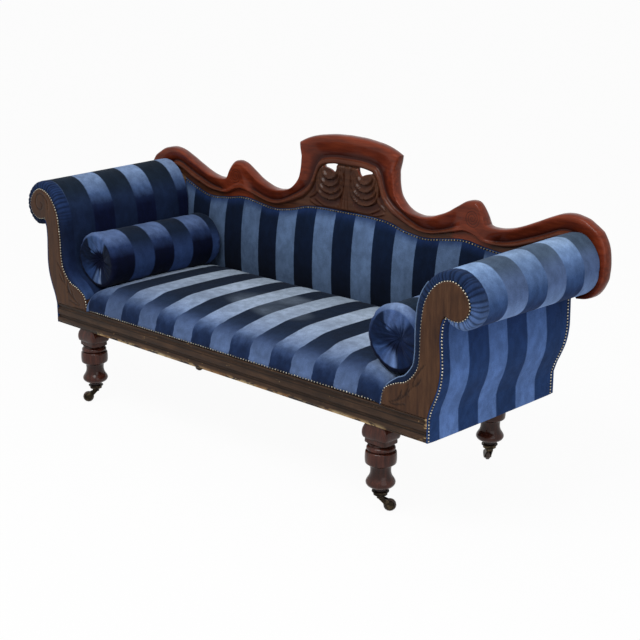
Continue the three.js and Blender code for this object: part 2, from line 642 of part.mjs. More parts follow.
const facingWidth = FACING_TOE + FACING_REACH;
const facingFoot = railHalf - FACING_TOE;
const facingInner = smooth(flatPoints(facingInnerShares, facingWidth, FACING_HEIGHT, facingFoot, armBase), 34);
const facingOuter = smooth(flatPoints(facingOuterShares, facingWidth, FACING_HEIGHT, facingFoot, armBase), 11);
const facingOutline = [...facingInner, ...facingOuter.slice(1)];

function facing() {
  const front = FACING_SETBACK;
  const levelShares = [[0, 1], [0.3, 0.3], [1, 0]];
  const rings = levelShares.map(([back, inset]) => (
    drawnIn(facingOutline, inset * FACING_ROUNDING).map((p) => atDepth(p, front + back * FACING_ROUNDING))
  ));
  rings.push(facingOutline.map((p) => atDepth(p, front + FACING_THICKNESS)));
  return skin(rings);
}

function frontPost() {
  const front = FACING_SETBACK + FACING_THICKNESS + FIT;
  return skin([front, front + FRONT_POST_THICKNESS].map((y) => facingOutline.map((p) => atDepth(p, y))));
}

// The pad's path over the facing's edge, from the foot to the notch
const padPath = facingInner.slice(Math.round(padStartShare * facingInner.length));
const padNormals = leftNormals(padPath);

// Outline of the arm pad's cover at a share of its length from front to back, with two points for each pleat
function padSurface(backShare, thickShare = 1, pleat = 0) {
  const last = 2 * (padPath.length - 1);
  return Array.from({ length: last + 1 }, (_, i) => {
    const [before, after] = [Math.floor(i / 2), Math.ceil(i / 2)];
    const point = padPath[before].clone().lerp(padPath[after], 0.5);
    const normal = padNormals[before].clone().add(padNormals[after]).normalize();
    const way = i / last;
    const front = tableAt(padFrontShares, way);
    const rear = tableAt(padRearShares, way);
    const fold = way > padPleatShare && i < last ? pleat * ((i % 2) - 0.5) : 0;
    const thick = (front + (rear - front) * backShare) * PAD_THICKNESS * thickShare + fold;
    return point.addScaledVector(normal, Math.max(thick, 2 * FIT) + FIT);
  });
}

function armPad() {
  const lining = padPath.map((point, i) => point.clone().addScaledVector(padNormals[i], FIT));
  const section = (cover) => [...lining, ...cover.reverse()];
  const front = FACING_SETBACK + PAD_SETBACK;
  const nose = padNoseShares.map(([back, thick, pleat]) => (
    section(padSurface(0, thick, pleat * PAD_PLEAT)).map((p) => atDepth(p, front + back * PAD_NOSE))
  ));
  const middle = section(padSurface(0.5)).map((p) => atDepth(p, (front + FRAME_DEPTH) / 2));
  const rear = section(padSurface(1)).map((p) => raked(p.x, p.y, crestFront - FIT));
  return skin([...nose, middle, rear]);
}

function sidePanel() {
  const upright = [facingOuter[0].clone().lerp(facingOuter[1], panelTopShare), ...facingOuter.slice(1)];
  const foot = [new THREE.Vector2(railHalf, railTop), new THREE.Vector2(railHalf, railBottom)];
  const path = [...upright, ...foot];
  const normals = leftNormals(path);
  normals[path.length - 1] = new THREE.Vector2(1, 0);
  const away = (distance) => path.map((p, i) => p.clone().addScaledVector(normals[i], distance));
  const section = [...away(FIT), ...away(FIT + SIDE_PANEL_THICKNESS).reverse()];
  return skin([section.map((p) => atDepth(p, SIDE_PANEL_SETBACK)), section.map((p) => raked(p.x, p.y, 0))]);
}

function armTopRail() {
  const front = FACING_SETBACK + FACING_THICKNESS + FRONT_POST_THICKNESS + 2 * FIT;
  const scroll = armScrollCentre();
  const level = (place) => Array.from({ length: TURN_STEPS }, (_, i) => {
    const angle = (2 * Math.PI * i) / TURN_STEPS;
    return place(scroll.x + ARM_RAIL_RADIUS * Math.cos(angle), scroll.y + ARM_RAIL_RADIUS * Math.sin(angle));
  });
  return skin([
    level((x, z) => new THREE.Vector3(x, front, z)),
    level((x, z) => raked(x, z, crestFront - FIT)),
  ]);
}

// Middle of the scroll's eye, as far from its top as from its outer side
function armScrollCentre() {
  const radius = (FACING_HEIGHT * (1 - curlShare)) / 2;
  return new THREE.Vector2(railHalf + FACING_REACH - radius, armBase + FACING_HEIGHT - radius);
}

function armLowerRail() {
  const front = FACING_SETBACK + FACING_THICKNESS + FRONT_POST_THICKNESS + 2 * FIT;
  const low = armBase + FACING_HEIGHT / 4;
  const x = railHalf - REAR_POST_INSET + FIT;
  const corners = [
    [x, low], [x + ARM_LOWER_RAIL_WIDTH, low],
    [x + ARM_LOWER_RAIL_WIDTH, low + ARM_LOWER_RAIL_HEIGHT], [x, low + ARM_LOWER_RAIL_HEIGHT],
  ];
  return skin([
    corners.map(([cx, cz]) => new THREE.Vector3(cx, front, cz)),
    corners.map(([cx, cz]) => raked(cx, cz, crestFront - FIT)),
  ]);
}

function addArms() {
  for (const [side, name] of [[-1, 'left'], [1, 'right']]) {
    const arm = mirrored(side);
    add(arm, `${name}_arm_facing`, facing(), DARK_WOOD);
    add(arm, `${name}_front_arm_post`, frontPost(), BEECH);
    add(arm, `${name}_rear_arm_post`, rearPost(), BEECH);
    add(arm, `${name}_arm_top_rail`, armTopRail(), BEECH);
    add(arm, `${name}_arm_lower_rail`, armLowerRail(), BEECH);
    add(arm, `${name}_arm_pad`, armPad(), VELVET);
    add(arm, `${name}_outside_arm_panel`, sidePanel(), VELVET);
  }
}

// Back

const crestPoints = (shares) => flatPoints(shares, crestHalfLength, BACK_HEIGHT, 0, railTop);
const crestLower = smooth(crestPoints(crestLowerShares), 48);
const lowerEnd = crestLower.at(-1);

// Height of the crest's lower edge at x
function lowerEdgeAt(x) {
  return tableAt(crestLower.map((p) => [p.x, p.y]), Math.abs(x));
}

// Columns of the crest, from its edge to the groove to the lower edge, each a ring round the wood
function crestColumn(edge, groove, lower) {
  const front = (share) => crestFront + share * GROOVE_DEPTH;
  const between = (a, b, t) => a.clone().lerp(b, t);
  const fade = tableAt(grooveFadeShares, groove.x / crestHalfLength);
  const ring = [raked(edge.x, edge.y, crestFront + CREST_RIM)];
  for (const [way, back] of crestMouldShares) {
    const p = between(edge, groove, way);
    ring.push(raked(p.x, p.y, front(way > thumbShare ? back * fade : back)));
  }
  for (const [way, back] of crestFieldShares) {
    const p = between(groove, lower, way);
    ring.push(raked(p.x, p.y, front(way < beadShare ? back * fade : back)));
  }
  const bevel = between(edge, groove, crestBevelShare);
  for (const p of [lower, groove, bevel]) {
    ring.push(raked(p.x, p.y, CREST_PROUD));
  }
  return ring;
}

function crestRun(edgeShares, grooveShares, lowerPoints, steps) {
  const edge = smooth(crestPoints(edgeShares), steps);
  const groove = smooth(crestPoints(grooveShares), steps);
  return edge.map((point, i) => crestColumn(point, groove[i], lowerPoints(i / steps)));
}

// Lower edge between two shares of its length
const lowerBetween = (from, to) => (way) => {
  const x = (from + (to - from) * way) * crestHalfLength;
  return new THREE.Vector2(x, lowerEdgeAt(x));
};

const ARCH_STEPS = 5;
const SIDE_STEPS = 18;
const WING_STEPS = 15;
const WING_TURN_STEP = 11;
const EAR_STEPS = 6;
const archFootShare = 0.0737;
const sideFootShare = 0.55;
const wingFootShare = crestLowerShares.at(-1)[0];

function crestHalfColumns() {
  const archLower = lowerBetween(0, archFootShare);
  const sideLower = lowerBetween(archFootShare, sideFootShare);
  const arch = crestRun(crestArchShares, grooveArchShares, archLower, ARCH_STEPS);
  const side = crestRun(crestSideShares, grooveSideShares, sideLower, SIDE_STEPS);
  return { arch, side };
}

const flipX = (column) => column.map((p) => new THREE.Vector3(-p.x, p.y, p.z));

// Middle of the crest with its cartouche and the two small scrolls
function crestCentre() {
  const { arch, side } = crestHalfColumns();
  const half = [...arch.slice(1), ...side.slice(1)];
  const whole = solidOf(skin([...half.map(flipX).reverse(), arch[0], ...half]));
  const deep = CREST_THICKNESS + OVERRUN;
  const hole = crestPoints(pierceShares);
  const pierce = (way) => solidOf(skin([-deep, deep].map((behind) => (
    hole.map((p) => raked(way * p.x, p.y, behind))
  ))));
  return geometryOf(whole.subtract(pierce(1)).subtract(pierce(-1)));
}

// The wing's lower boundary turns down at the lower edge's end and runs to the drop's inner edge
function wingLower(way) {
  const turn = WING_TURN_STEP / WING_STEPS;
  if (way < turn) return lowerBetween(sideFootShare, wingFootShare)(way / turn);
  const start = lowerBetween(sideFootShare, wingFootShare)(1);
  const end = new THREE.Vector2(earInner, railTop + crestEarShares[0][1] * BACK_HEIGHT);
  return start.lerp(end, (way - turn) / (1 - turn));
}

function crestWing() {
  const start = new THREE.Vector2(FIT, 0);
  const columns = crestRun(crestWingShares, grooveWingShares, wingLower, WING_STEPS);
  columns[0] = columns[0].map((p) => new THREE.Vector3(p.x + start.x, p.y, p.z));
  return skin(columns);
}

// The block glued under the wing's end, which closes the roll of the arm
function crestEar() {
  const outer = smooth(crestPoints(crestEarShares), EAR_STEPS);
  const top = outer[0].y - FIT;
  const bottom = outer.at(-1).y;
  return skin(outer.map((point, i) => {
    const way = i / EAR_STEPS;
    const edge = new THREE.Vector2(point.x, Math.min(point.y, top));
    const inner = new THREE.Vector2(earInner, top + (bottom - top) * way);
    const groove = edge.clone().lerp(inner, dropGrooveShare);
    return crestColumn(edge, groove, inner);
  }));
}

function rearPost() {
  const inner = railHalf - REAR_POST_INSET;
  const shoulder = [inner, (inner + lowerEnd.x) / 2, lowerEnd.x - FIT].map((x) => (
    new THREE.Vector2(x, lowerEdgeAt(x) - CREST_GAP)
  ));
  const upright = facingOuter.slice(2).map((p) => p.clone());
  const outline = [new THREE.Vector2(inner, armBase), ...shoulder, ...upright];
  const level = (behind) => outline.map((p) => raked(p.x, p.y, behind));
  return skin([level(crestFront), level(0)]);
}

function backStay() {
  const half = STAY_WIDTH / 2;
  const top = lowerEdgeAt(0) - CREST_GAP;
  const outline = [[-half, armBase], [half, armBase], [half, top - FIT], [0, top], [-half, top - FIT]];
  return skin([-STAY_THICKNESS, 0].map((behind) => outline.map(([x, z]) => raked(x, z, behind))));
}

// Half of the rail that the back's cover is tacked to, between the stay and a post
function tackingRail() {
  const low = railTop + TACKING_RAIL_RISE;
  const high = low + TACKING_RAIL_HEIGHT;
  const [near, far] = [STAY_WIDTH / 2 + FIT, railHalf - REAR_POST_INSET - FIT];
  const outline = [[near, low], [far, low], [far, high], [near, high]];
  return skin([-STAY_THICKNESS, 0].map((behind) => outline.map(([x, z]) => raked(x, z, behind))));
}

const BACK_COLUMNS = 36;
const backPadRowShares = [0, 0.12, 0.3, 0.5, 0.7, 0.88, 1];

// Back pad: crowned between the seat, the arms and the crest's lower edge
function backPad() {
  const half = railHalf - REAR_POST_INSET - FIT;
  const seatLine = railTop + SEAT_RISE;
  const columns = Array.from({ length: BACK_COLUMNS + 1 }, (_, i) => {
    const across = (2 * i) / BACK_COLUMNS - 1;
    const x = across * half;
    const top = lowerEdgeAt(x) - CREST_GAP;
    const sideways = 1 - across ** 8;
    const front = backPadRowShares.map((way) => {
      const crown = BACK_PAD_CROWN * sideways * Math.sin(Math.PI * way) ** 0.7;
      const edge = BACK_PAD_FRONT + (BACK_PAD_TOP_FRONT - BACK_PAD_FRONT) * way ** 6;
      return raked(x, seatLine + (top - seatLine) * way, -edge - crown);
    });
    const rear = -STAY_THICKNESS - FIT;
    return [raked(x, armBase, rear), raked(x, armBase, -BACK_PAD_FRONT), ...front, raked(x, top, rear)];
  });
  return skin(columns);
}

// Outside back: upright over the back rail, raked above it
function backPanel() {
  const under = crestLower.filter((p) => p.x < lowerEnd.x - FIT);
  const top = under.map((p) => new THREE.Vector2(p.x, p.y - CREST_GAP));
  const half = [...top, ...facingOuter.slice(2), new THREE.Vector2(railHalf, railTop)];
  const outline = [...half, ...half.slice(1).reverse().map((p) => new THREE.Vector2(-p.x, p.y))];
  const level = (behind) => outline.map((p) => raked(p.x, p.y, behind));
  const front = FRAME_DEPTH + FIT;
  const foot = block([-railHalf, front, railBottom], [railHalf, front + BACK_PANEL_THICKNESS, railTop]);
  return geometryOf(solidOf(skin([level(FIT), level(FIT + BACK_PANEL_THICKNESS)])).add(solidOf(foot)));
}

function addBack() {
  add(sofa, 'crest_centre', crestCentre(), MAHOGANY);
  add(sofa, 'back_stay', backStay(), BEECH);
  add(sofa, 'back_pad', backPad(), VELVET);
  add(sofa, 'outside_back_panel', backPanel(), VELVET);
  for (const [side, name] of [[-1, 'left'], [1, 'right']]) {
    add(mirrored(side), `${name}_crest_wing`, crestWing(), MAHOGANY);
    add(mirrored(side), `${name}_crest_drop`, crestEar(), MAHOGANY);
    add(mirrored(side), `${name}_back_tacking_rail`, tackingRail(), BEECH);
  }
}

// Seat

const SEAT_COLUMNS = 16;
const seatSideShares = [0, 0.05, 0.18, 0.4, 0.7, 1];

// Height of the seat's top over its edge at shares across and back
function seatCrown(across, back) {
  return SEAT_CROWN * (1 - Math.abs(across) ** 4) * Math.sin(Math.PI * back) ** 0.8;
}

// Side of the seat drawn in: how far the top drops at a distance from the side
function seatSideDrop(distance) {
  const way = Math.min(distance / SEAT_SIDE_ROUNDING, 1);
  return SEAT_SIDE_DROP * (1 - Math.sqrt(1 - (1 - way) ** 2));
}

const seatArcSteps = 5;
const seatTopShares = [0.25, 0.45, 0.65, 0.85, 1];

function seatRing(x) {
  const drop = seatSideDrop(seatHalfWidth - Math.abs(x));
  const across = x / seatHalfWidth;
  const top = railTop + SEAT_RISE - drop;
  const well = railBottom + CROSS_RAIL_HEIGHT + FIT;
  const [front, rear] = [FRONT_RAIL_THICKNESS + FIT, FRAME_DEPTH - BACK_RAIL_THICKNESS - FIT];
  const radius = Math.min(SEAT_ROUNDING, top - armBase - FIT);
  const face = SEAT_FRONT - SEAT_BULGE;
  const points = [
    [rear, well], [front, well], [front, armBase], [SEAT_FRONT, armBase], [face, (armBase + top - radius) / 2],
  ];
  for (let i = 0; i <= seatArcSteps; i += 1) {
    const angle = (Math.PI / 2) * (i / seatArcSteps);
    points.push([face + radius * (1 - Math.cos(angle)), top - radius * (1 - Math.sin(angle))]);
  }
  const start = face + radius;
  for (const way of seatTopShares) {
    const crown = seatCrown(across, way * (1 - SEAT_ROUNDING / FRAME_DEPTH));
    points.push([start + (seatBack - start) * way, top + crown]);
  }
  points.push([seatBack, armBase], [rear, armBase]);
  return points.map(([y, z]) => new THREE.Vector3(x, y, z));
}

// Where the seat's cross sections stand, close together over its drawn-down sides
function seatPlaces() {
  const edge = seatSideShares.map((way) => -seatHalfWidth + way * SEAT_SIDE_ROUNDING);
  const inner = seatHalfWidth - SEAT_SIDE_ROUNDING;
  const middle = Array.from({ length: SEAT_COLUMNS - 1 }, (_, i) => (
    inner * ((2 * (i + 1)) / SEAT_COLUMNS - 1)
  ));
  return [...edge, ...middle, ...edge.map((x) => -x).reverse()];
}

function seatPad() {
  return skin(seatPlaces().map(seatRing));
}

// Bolsters

// Where a bolster rests beside the arm: clear of it when lifted, and down on the seat or the arm's foot
function bolsterPlace() {
  const reach = BOLSTER_RADIUS * bolsterMiddleShare + FIT;
  const arm = [...padSurface(0), ...padSurface(1)];
  const upright = arm.filter((p) => p.y > armBase + FACING_HEIGHT / 3 && p.y < armBase + FACING_HEIGHT);
  const x = Math.min(...upright.map((p) => p.x)) - reach;
  const columns = seatPlaces().filter((place) => Math.abs(place - x) < reach);
  const seat = columns.flatMap(seatRing).map((p) => new THREE.Vector2(p.x, p.z));
  const under = [...arm, ...seat].filter((p) => Math.abs(p.x - x) < reach && p.y < armBase + FACING_HEIGHT / 3);
  return new THREE.Vector2(x, Math.max(...under.map((p) => p.y + Math.sqrt(reach ** 2 - (p.x - x) ** 2))));
}

function bolster() {
  const steps = BOLSTER_PLEATS * 3;
  const end = bolsterEndShares.map(([way, wide], i) => ({
    y: way * BOLSTER_DIMPLE, radius: wide * BOLSTER_RADIUS, pleat: bolsterPleatShares[i] * BOLSTER_PLEAT,
  }));
  const back = end.map(({ y, radius, pleat }) => ({ y: bolsterLength - y, radius, pleat: -pleat })).reverse();
  const middle = { y: bolsterLength / 2, radius: BOLSTER_RADIUS * bolsterMiddleShare, pleat: 0 };
  return skin([...end, middle, ...back].map(({ y, radius, pleat }) => (
    Array.from({ length: steps }, (_, i) => {
      const angle = (2 * Math.PI * i) / steps;
      const fold = pleat * Math.cos(BOLSTER_PLEATS * angle);
      return new THREE.Vector3(radius * Math.cos(angle), y + fold, radius * Math.sin(angle));
    })
  )));
}

function addSoftParts() {
  add(sofa, 'seat_webbing', webbing(), WEBBING);
  add(sofa, 'seat_pad', seatPad(), VELVET);
  const place = bolsterPlace();
  for (const [side, name] of [[-1, 'left'], [1, 'right']]) {
    add(mirrored(side), `${name}_bolster`, bolster().translate(place.x, BOLSTER_FRONT, place.y), VELVET);
  }
}

addSeatFrame();
addLegs();
addArms();
addBack();
addSoftParts();

export default sofa;
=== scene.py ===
import math
import random

import bmesh
import bpy
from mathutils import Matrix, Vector
from mathutils.geometry import delaunay_2d_cdt


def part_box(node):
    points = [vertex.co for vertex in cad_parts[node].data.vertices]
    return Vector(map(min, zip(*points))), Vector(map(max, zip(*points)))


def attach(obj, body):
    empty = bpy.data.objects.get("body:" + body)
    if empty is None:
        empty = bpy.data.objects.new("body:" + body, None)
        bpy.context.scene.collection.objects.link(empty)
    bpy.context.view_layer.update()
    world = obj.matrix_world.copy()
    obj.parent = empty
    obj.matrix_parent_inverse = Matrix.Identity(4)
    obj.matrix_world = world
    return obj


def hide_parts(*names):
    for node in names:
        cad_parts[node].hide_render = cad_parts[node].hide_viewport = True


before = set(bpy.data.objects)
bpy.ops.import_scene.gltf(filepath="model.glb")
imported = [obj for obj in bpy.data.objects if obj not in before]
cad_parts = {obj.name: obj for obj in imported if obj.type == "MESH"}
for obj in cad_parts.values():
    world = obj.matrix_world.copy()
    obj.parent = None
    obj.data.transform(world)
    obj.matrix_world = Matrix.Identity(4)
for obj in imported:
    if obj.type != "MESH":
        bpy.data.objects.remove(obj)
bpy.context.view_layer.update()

# Sizes of the sofa in millimetres, with y from the front rail's face
FRAME_DEPTH = 600
FIT = 0.3
SHIFT = FRAME_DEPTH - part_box("back_rail")[1].y * 1000
RAIL_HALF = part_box("front_rail")[1].x * 1000
RAIL_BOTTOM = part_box("front_rail")[0].z * 1000
RAIL_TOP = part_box("front_rail")[1].z * 1000
ARM_BASE = RAIL_TOP + FIT
RAKE = math.tan(math.radians(3.7))
CREST_HALF = 1036
CREST_HEIGHT = 624
CREST_FRONT = -42
CREST_BACK = 8
CREST_RIM = 28
GROOVE_DEPTH = 14
EAR_INNER = 913
SEAT_HALF = 690
PAD_THICKNESS = 32


def metres(p):
    """A point of the sofa in the frame's metres"""
    return (p[0] / 1000, (p[1] - SHIFT) / 1000, p[2] / 1000)


def raked(x, z, behind):
    """Point of the leaning back, behind its plane by so much"""
    return Vector((x, FRAME_DEPTH + max(z - RAIL_TOP, 0) * RAKE + behind, z))


def step(low, high, value):
    """0 below low, 1 above high, smooth between"""
    t = min(max((value - low) / (high - low), 0), 1)
    return t * t * (3 - 2 * t)


# Curves


def blend(start, leaving, end, arriving, u):
    """Value at a share u of a curve between two values with their slopes"""
    return (
        start * (2 * u**3 - 3 * u**2 + 1) + leaving * (u**3 - 2 * u**2 + u)
        + end * (3 * u**2 - 2 * u**3) + arriving * (u**3 - u**2)
    )


def spline(points, steps, closed=False):
    """Centripetal curve through the points in even steps"""
    given = [Vector(p) for p in points]
    n = len(given)
    dense = []
    for i in range(n if closed else n - 1):
        b, c = given[i], given[(i + 1) % n]
        a = given[i - 1] if i or closed else b * 2 - c
        d = given[(i + 2) % n] if i + 2 < n or closed else c * 2 - b
        t0, t1, t2 = (max((q - p).length, 1e-6) ** 0.5 for p, q in ((a, b), (b, c), (c, d)))
        m = ((b - a) / t0 - (c - a) / (t0 + t1) + (c - b) / t1) * t1
        k = ((c - b) / t1 - (d - b) / (t1 + t2) + (d - c) / t2) * t1
        dense += [blend(b, m, c, k, j / 20) for j in range(20)]
    dense.append(given[0] if closed else given[-1])
    return evenly(dense, steps)[: steps if closed else steps + 1]


def evenly(line, steps):
    """The same line in even steps"""
    ways = [0]
    for p, q in zip(line, line[1:]):
        ways.append(ways[-1] + (q - p).length)
    out, k = [], 0
    for i in range(steps + 1):
        want = ways[-1] * i / steps
        while k < len(line) - 2 and ways[k + 1] < want:
            k += 1
        out.append(line[k].lerp(line[k + 1], (want - ways[k]) / max(ways[k + 1] - ways[k], 1e-9)))
    return out


def at(table, place):
    """Smooth value of a table of places and values"""
    if place <= table[0][0]:
        return table[0][1]
    if place >= table[-1][0]:
        return table[-1][1]
    k = max(i for i, row in enumerate(table) if row[0] <= place)
    (x0, y0), (x1, y1) = table[k], table[k + 1]
    xa, ya = table[max(k - 1, 0)]
    xb, yb = table[min(k + 2, len(table) - 1)]
    m0 = (y1 - ya) / (x1 - xa) * (x1 - x0)
    m1 = (yb - y0) / (xb - x0) * (x1 - x0)
    return blend(y0, m0, y1, m1, (place - x0) / (x1 - x0))


def line_at(table, place):
    """Straight-line value of a table of places and values"""
    for (x0, y0), (x1, y1) in zip(table, table[1:]):
        if place <= x1:
            return y0 + (y1 - y0) * max(place - x0, 0) / (x1 - x0)
    return table[-1][1]


def normals(path):
    """Unit vectors to the left of a flat path"""
    out = []
    for i in range(len(path)):
        way = (path[min(i + 1, len(path) - 1)] - path[max(i - 1, 0)]).normalized()
        out.append(Vector((-way.y, way.x)))
    return out


def drawn_in(outline, inset):
    """A closed flat outline moved to its right"""
    out = []
    for i, p in enumerate(outline):
        a = (p - outline[i - 1]).normalized()
        b = (outline[(i + 1) % len(outline)] - p).normalized()
        out.append(p + Vector((a.y + b.y, -a.x - b.x)).normalized() * inset)
    return out


def line_distance(line, p):
    """How far a flat point lies from a line of points, and how far along"""
    best, where = 1e9, 0
    for i, (a, b) in enumerate(zip(line, line[1:])):
        run = b - a
        u = min(max((p - a).dot(run) / max(run.length_squared, 1e-9), 0), 1)
        d = (p - a - run * u).length
        if d < best:
            best, where = d, (i + u) / (len(line) - 1)
    return best, where


# Meshes


def grid_faces(rows, columns, closed=False):
    """Faces of a grid of points, row after row, each row closed or not"""
    wide = columns if closed else columns - 1
    faces = []
    for start in range(0, (rows - 1) * columns, columns):
        for c in range(wide):
            d = (c + 1) % columns
            faces.append((start + c, start + d, start + columns + d, start + columns + c))
    return faces


def loft(rings):
    """Points and faces of a closed body through rings of points"""
    n = len(rings[0])
    points = [p for ring in rings for p in ring]
    faces = grid_faces(len(rings), n, True)
    faces.append(tuple(range(n)))
    faces.append(tuple(range(len(points) - n, len(points))))
    return points, faces


def flip(points):
    """Points on the other side of the sofa's middle"""
    return [Vector((-p[0], p[1], p[2])) for p in points]


def on_side(side, points):
    """Points drawn for the right side, on the side that is wanted: 1 right, -1 left"""
    return points if side > 0 else flip(points)


def make(name, shape, material, stands_for=(), body="frame", sharp=35, values=None):
    """A named piece on a body of the sofa; values are numbers for each point"""
    points, faces = shape
    mesh = bpy.data.meshes.new(name)
    mesh.from_pydata([metres(p) for p in points], [], faces)
    for key, numbers in (values or {}).items():
        mesh.attributes.new(key, "FLOAT", "POINT").data.foreach_set("value", numbers)
    bm = bmesh.new()
    bm.from_mesh(mesh)
    bmesh.ops.remove_doubles(bm, verts=bm.verts, dist=2e-6)
    bmesh.ops.recalc_face_normals(bm, faces=bm.faces)
    bm.to_mesh(mesh)
    bm.free()
    smooth_edges(mesh, sharp)
    mesh.materials.append(material)
    piece = bpy.data.objects.new(name, mesh)
    bpy.context.scene.collection.objects.link(piece)
    if stands_for:
        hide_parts(*stands_for)
    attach(piece, body)
    return piece


def smooth_edges(mesh, sharp):
    mesh.polygons.foreach_set("use_smooth", [True] * len(mesh.polygons))
    mesh.set_sharp_from_angle(angle=math.radians(sharp))


def domes(places, radius, height):
    """Nail heads at places with their outward directions"""
    points, faces = [], []
    for place, out in places:
        out = out.normalized()
        u = out.orthogonal().normalized()
        v = out.cross(u)
        first = len(points)
        for share, up in ((1, -0.25), (0.97, 0.25), (0.72, 0.75)):
            for k in range(10):
                a = 2 * math.pi * k / 10
                around = (u * math.cos(a) + v * math.sin(a)) * radius * share
                points.append(place + around + out * height * up)
        points.append(place + out * height)
        faces += [tuple(first + i for i in f) for f in grid_faces(3, 10, True)]
        faces += [(first + 20 + k, first + 20 + (k + 1) % 10, first + 30) for k in range(10)]
    return points, faces


def tube(path, radius, sides=8):
    """A closed tube along a line of points"""
    rings = []
    for i, p in enumerate(path):
        way = (path[min(i + 1, len(path) - 1)] - path[max(i - 1, 0)]).normalized()
        u = way.cross(Vector((0, 1, 0.01))).normalized()
        v = way.cross(u)
        rings.append([
            p + (u * math.cos(a) + v * math.sin(a)) * radius
            for a in (2 * math.pi * k / sides for k in range(sides))
        ])
    return loft(rings)


# Materials


def rgb(red, green, blue):
    """A colour as a picture writes it, from 0 to 255, for the shaders"""
    def straight(c):
        c /= 255
        return c / 12.92 if c <= 0.04045 else ((c + 0.055) / 1.055) ** 2.4
    return (straight(red), straight(green), straight(blue), 1)


class Number:
    """A number of a material, which its nodes work out"""

    def __init__(self, look, socket):
        self.look = look
        self.socket = socket

    def __add__(self, other):
        return self.look.math("ADD", self, other)

    def __sub__(self, other):
        return self.look.math("SUBTRACT", self, other)

    def __mul__(self, other):
        return self.look.math("MULTIPLY", self, other)

    def __truediv__(self, other):
        return self.look.math("DIVIDE", self, other)


class Look:
    """One material and short ways to add its nodes"""

    def __init__(self, name, **values):
        self.material = bpy.data.materials.new(name)
        self.material.use_nodes = True
        self.tree = self.material.node_tree
        self.shader = self.tree.nodes["Principled BSDF"]
        for key, value in values.items():
            self.shader.inputs[key.replace("_", " ")].default_value = value
        self.place = self.tree.nodes.new("ShaderNodeTexCoord").outputs["Object"]
        parts = self.tree.nodes.new("ShaderNodeSeparateXYZ")
        self.tree.links.new(self.place, parts.inputs[0])
        self.x, self.y, self.z = (Number(self, part) for part in parts.outputs)

    def put(self, socket, value):
        """Give a socket a number, a colour or another node's output"""
        if isinstance(value, Number):
            value = value.socket
        if isinstance(value, bpy.types.NodeSocket):
            self.tree.links.new(value, socket)
        else:
            socket.default_value = value

    def math(self, operation, *values):
        node = self.tree.nodes.new("ShaderNodeMath")
        node.operation = operation
        for socket, value in zip(node.inputs, values):
            self.put(socket, value)
        return Number(self, node.outputs[0])

    def distance(self, across, along):
        return self.math("POWER", across * across + along * along, 0.5)

    def mix(self, share, first, second, blend="MIX"):
        node = self.tree.nodes.new("ShaderNodeMix")
        node.data_type = "RGBA"
        node.blend_type = blend
        self.put(node.inputs[0], share)
        self.put(node.inputs[6], first)
        self.put(node.inputs[7], second)
        return node.outputs[2]

    def noise(self, scale, detail=2, stretch=(1, 1, 1), start=0, roughness=0.5):
        spread = self.tree.nodes.new("ShaderNodeMapping")
        self.put(spread.inputs["Vector"], self.place)
        spread.inputs["Scale"].default_value = stretch
        spread.inputs["Location"].default_value = (start, start * 0.7, start * 1.3)
        node = self.tree.nodes.new("ShaderNodeTexNoise")
        self.put(node.inputs["Vector"], spread.outputs[0])
        node.inputs["Scale"].default_value = scale
        node.inputs["Detail"].default_value = detail
        node.inputs["Roughness"].default_value = roughness
        return Number(self, node.outputs[0])

    def spread(self, value, low, high, to_low=0, to_high=1):
        """A value taken smoothly from one range to another"""
        node = self.tree.nodes.new("ShaderNodeMapRange")
        node.interpolation_type = "SMOOTHSTEP"
        for socket, given in zip(node.inputs, (value, low, high, to_low, to_high)):
            self.put(socket, given)
        return Number(self, node.outputs[0])

    def ramp(self, share, stops):
        node = self.tree.nodes.new("ShaderNodeValToRGB")
        self.put(node.inputs[0], share)
        while len(node.color_ramp.elements) < len(stops):
            node.color_ramp.elements.new(1)
        for element, (place, colour) in zip(node.color_ramp.elements, stops):
            element.position = place
            element.color = colour
        return node.outputs[0]

    def shades(self, share, *stops):
        """Colours at rising shares, each as a share and the 0 to 255 of its parts"""
        return self.ramp(share, tone_list(*stops))

    def tones(self, value, stops):
        """Colours at rising values"""
        low, high = stops[0][0], stops[-1][0]
        share = (value - low) / (high - low)
        return self.ramp(share, [((place - low) / (high - low), colour) for place, colour in stops])

    def value(self, name):
        node = self.tree.nodes.new("ShaderNodeAttribute")
        node.attribute_name = name
        return Number(self, node.outputs["Fac"])

    def colour(self, value):
        self.put(self.shader.inputs["Base Color"], value)

    def rough(self, value):
        self.put(self.shader.inputs["Roughness"], value)

    def bump(self, height, distance, strength=1.0, under=None):
        node = self.tree.nodes.new("ShaderNodeBump")
        node.inputs["Strength"].default_value = strength
        node.inputs["Distance"].default_value = distance
        self.put(node.inputs["Height"], height)
        if under:
            self.put(node.inputs["Normal"], under)
        self.put(self.shader.inputs["Normal"], node.outputs[0])
        return node.outputs[0]


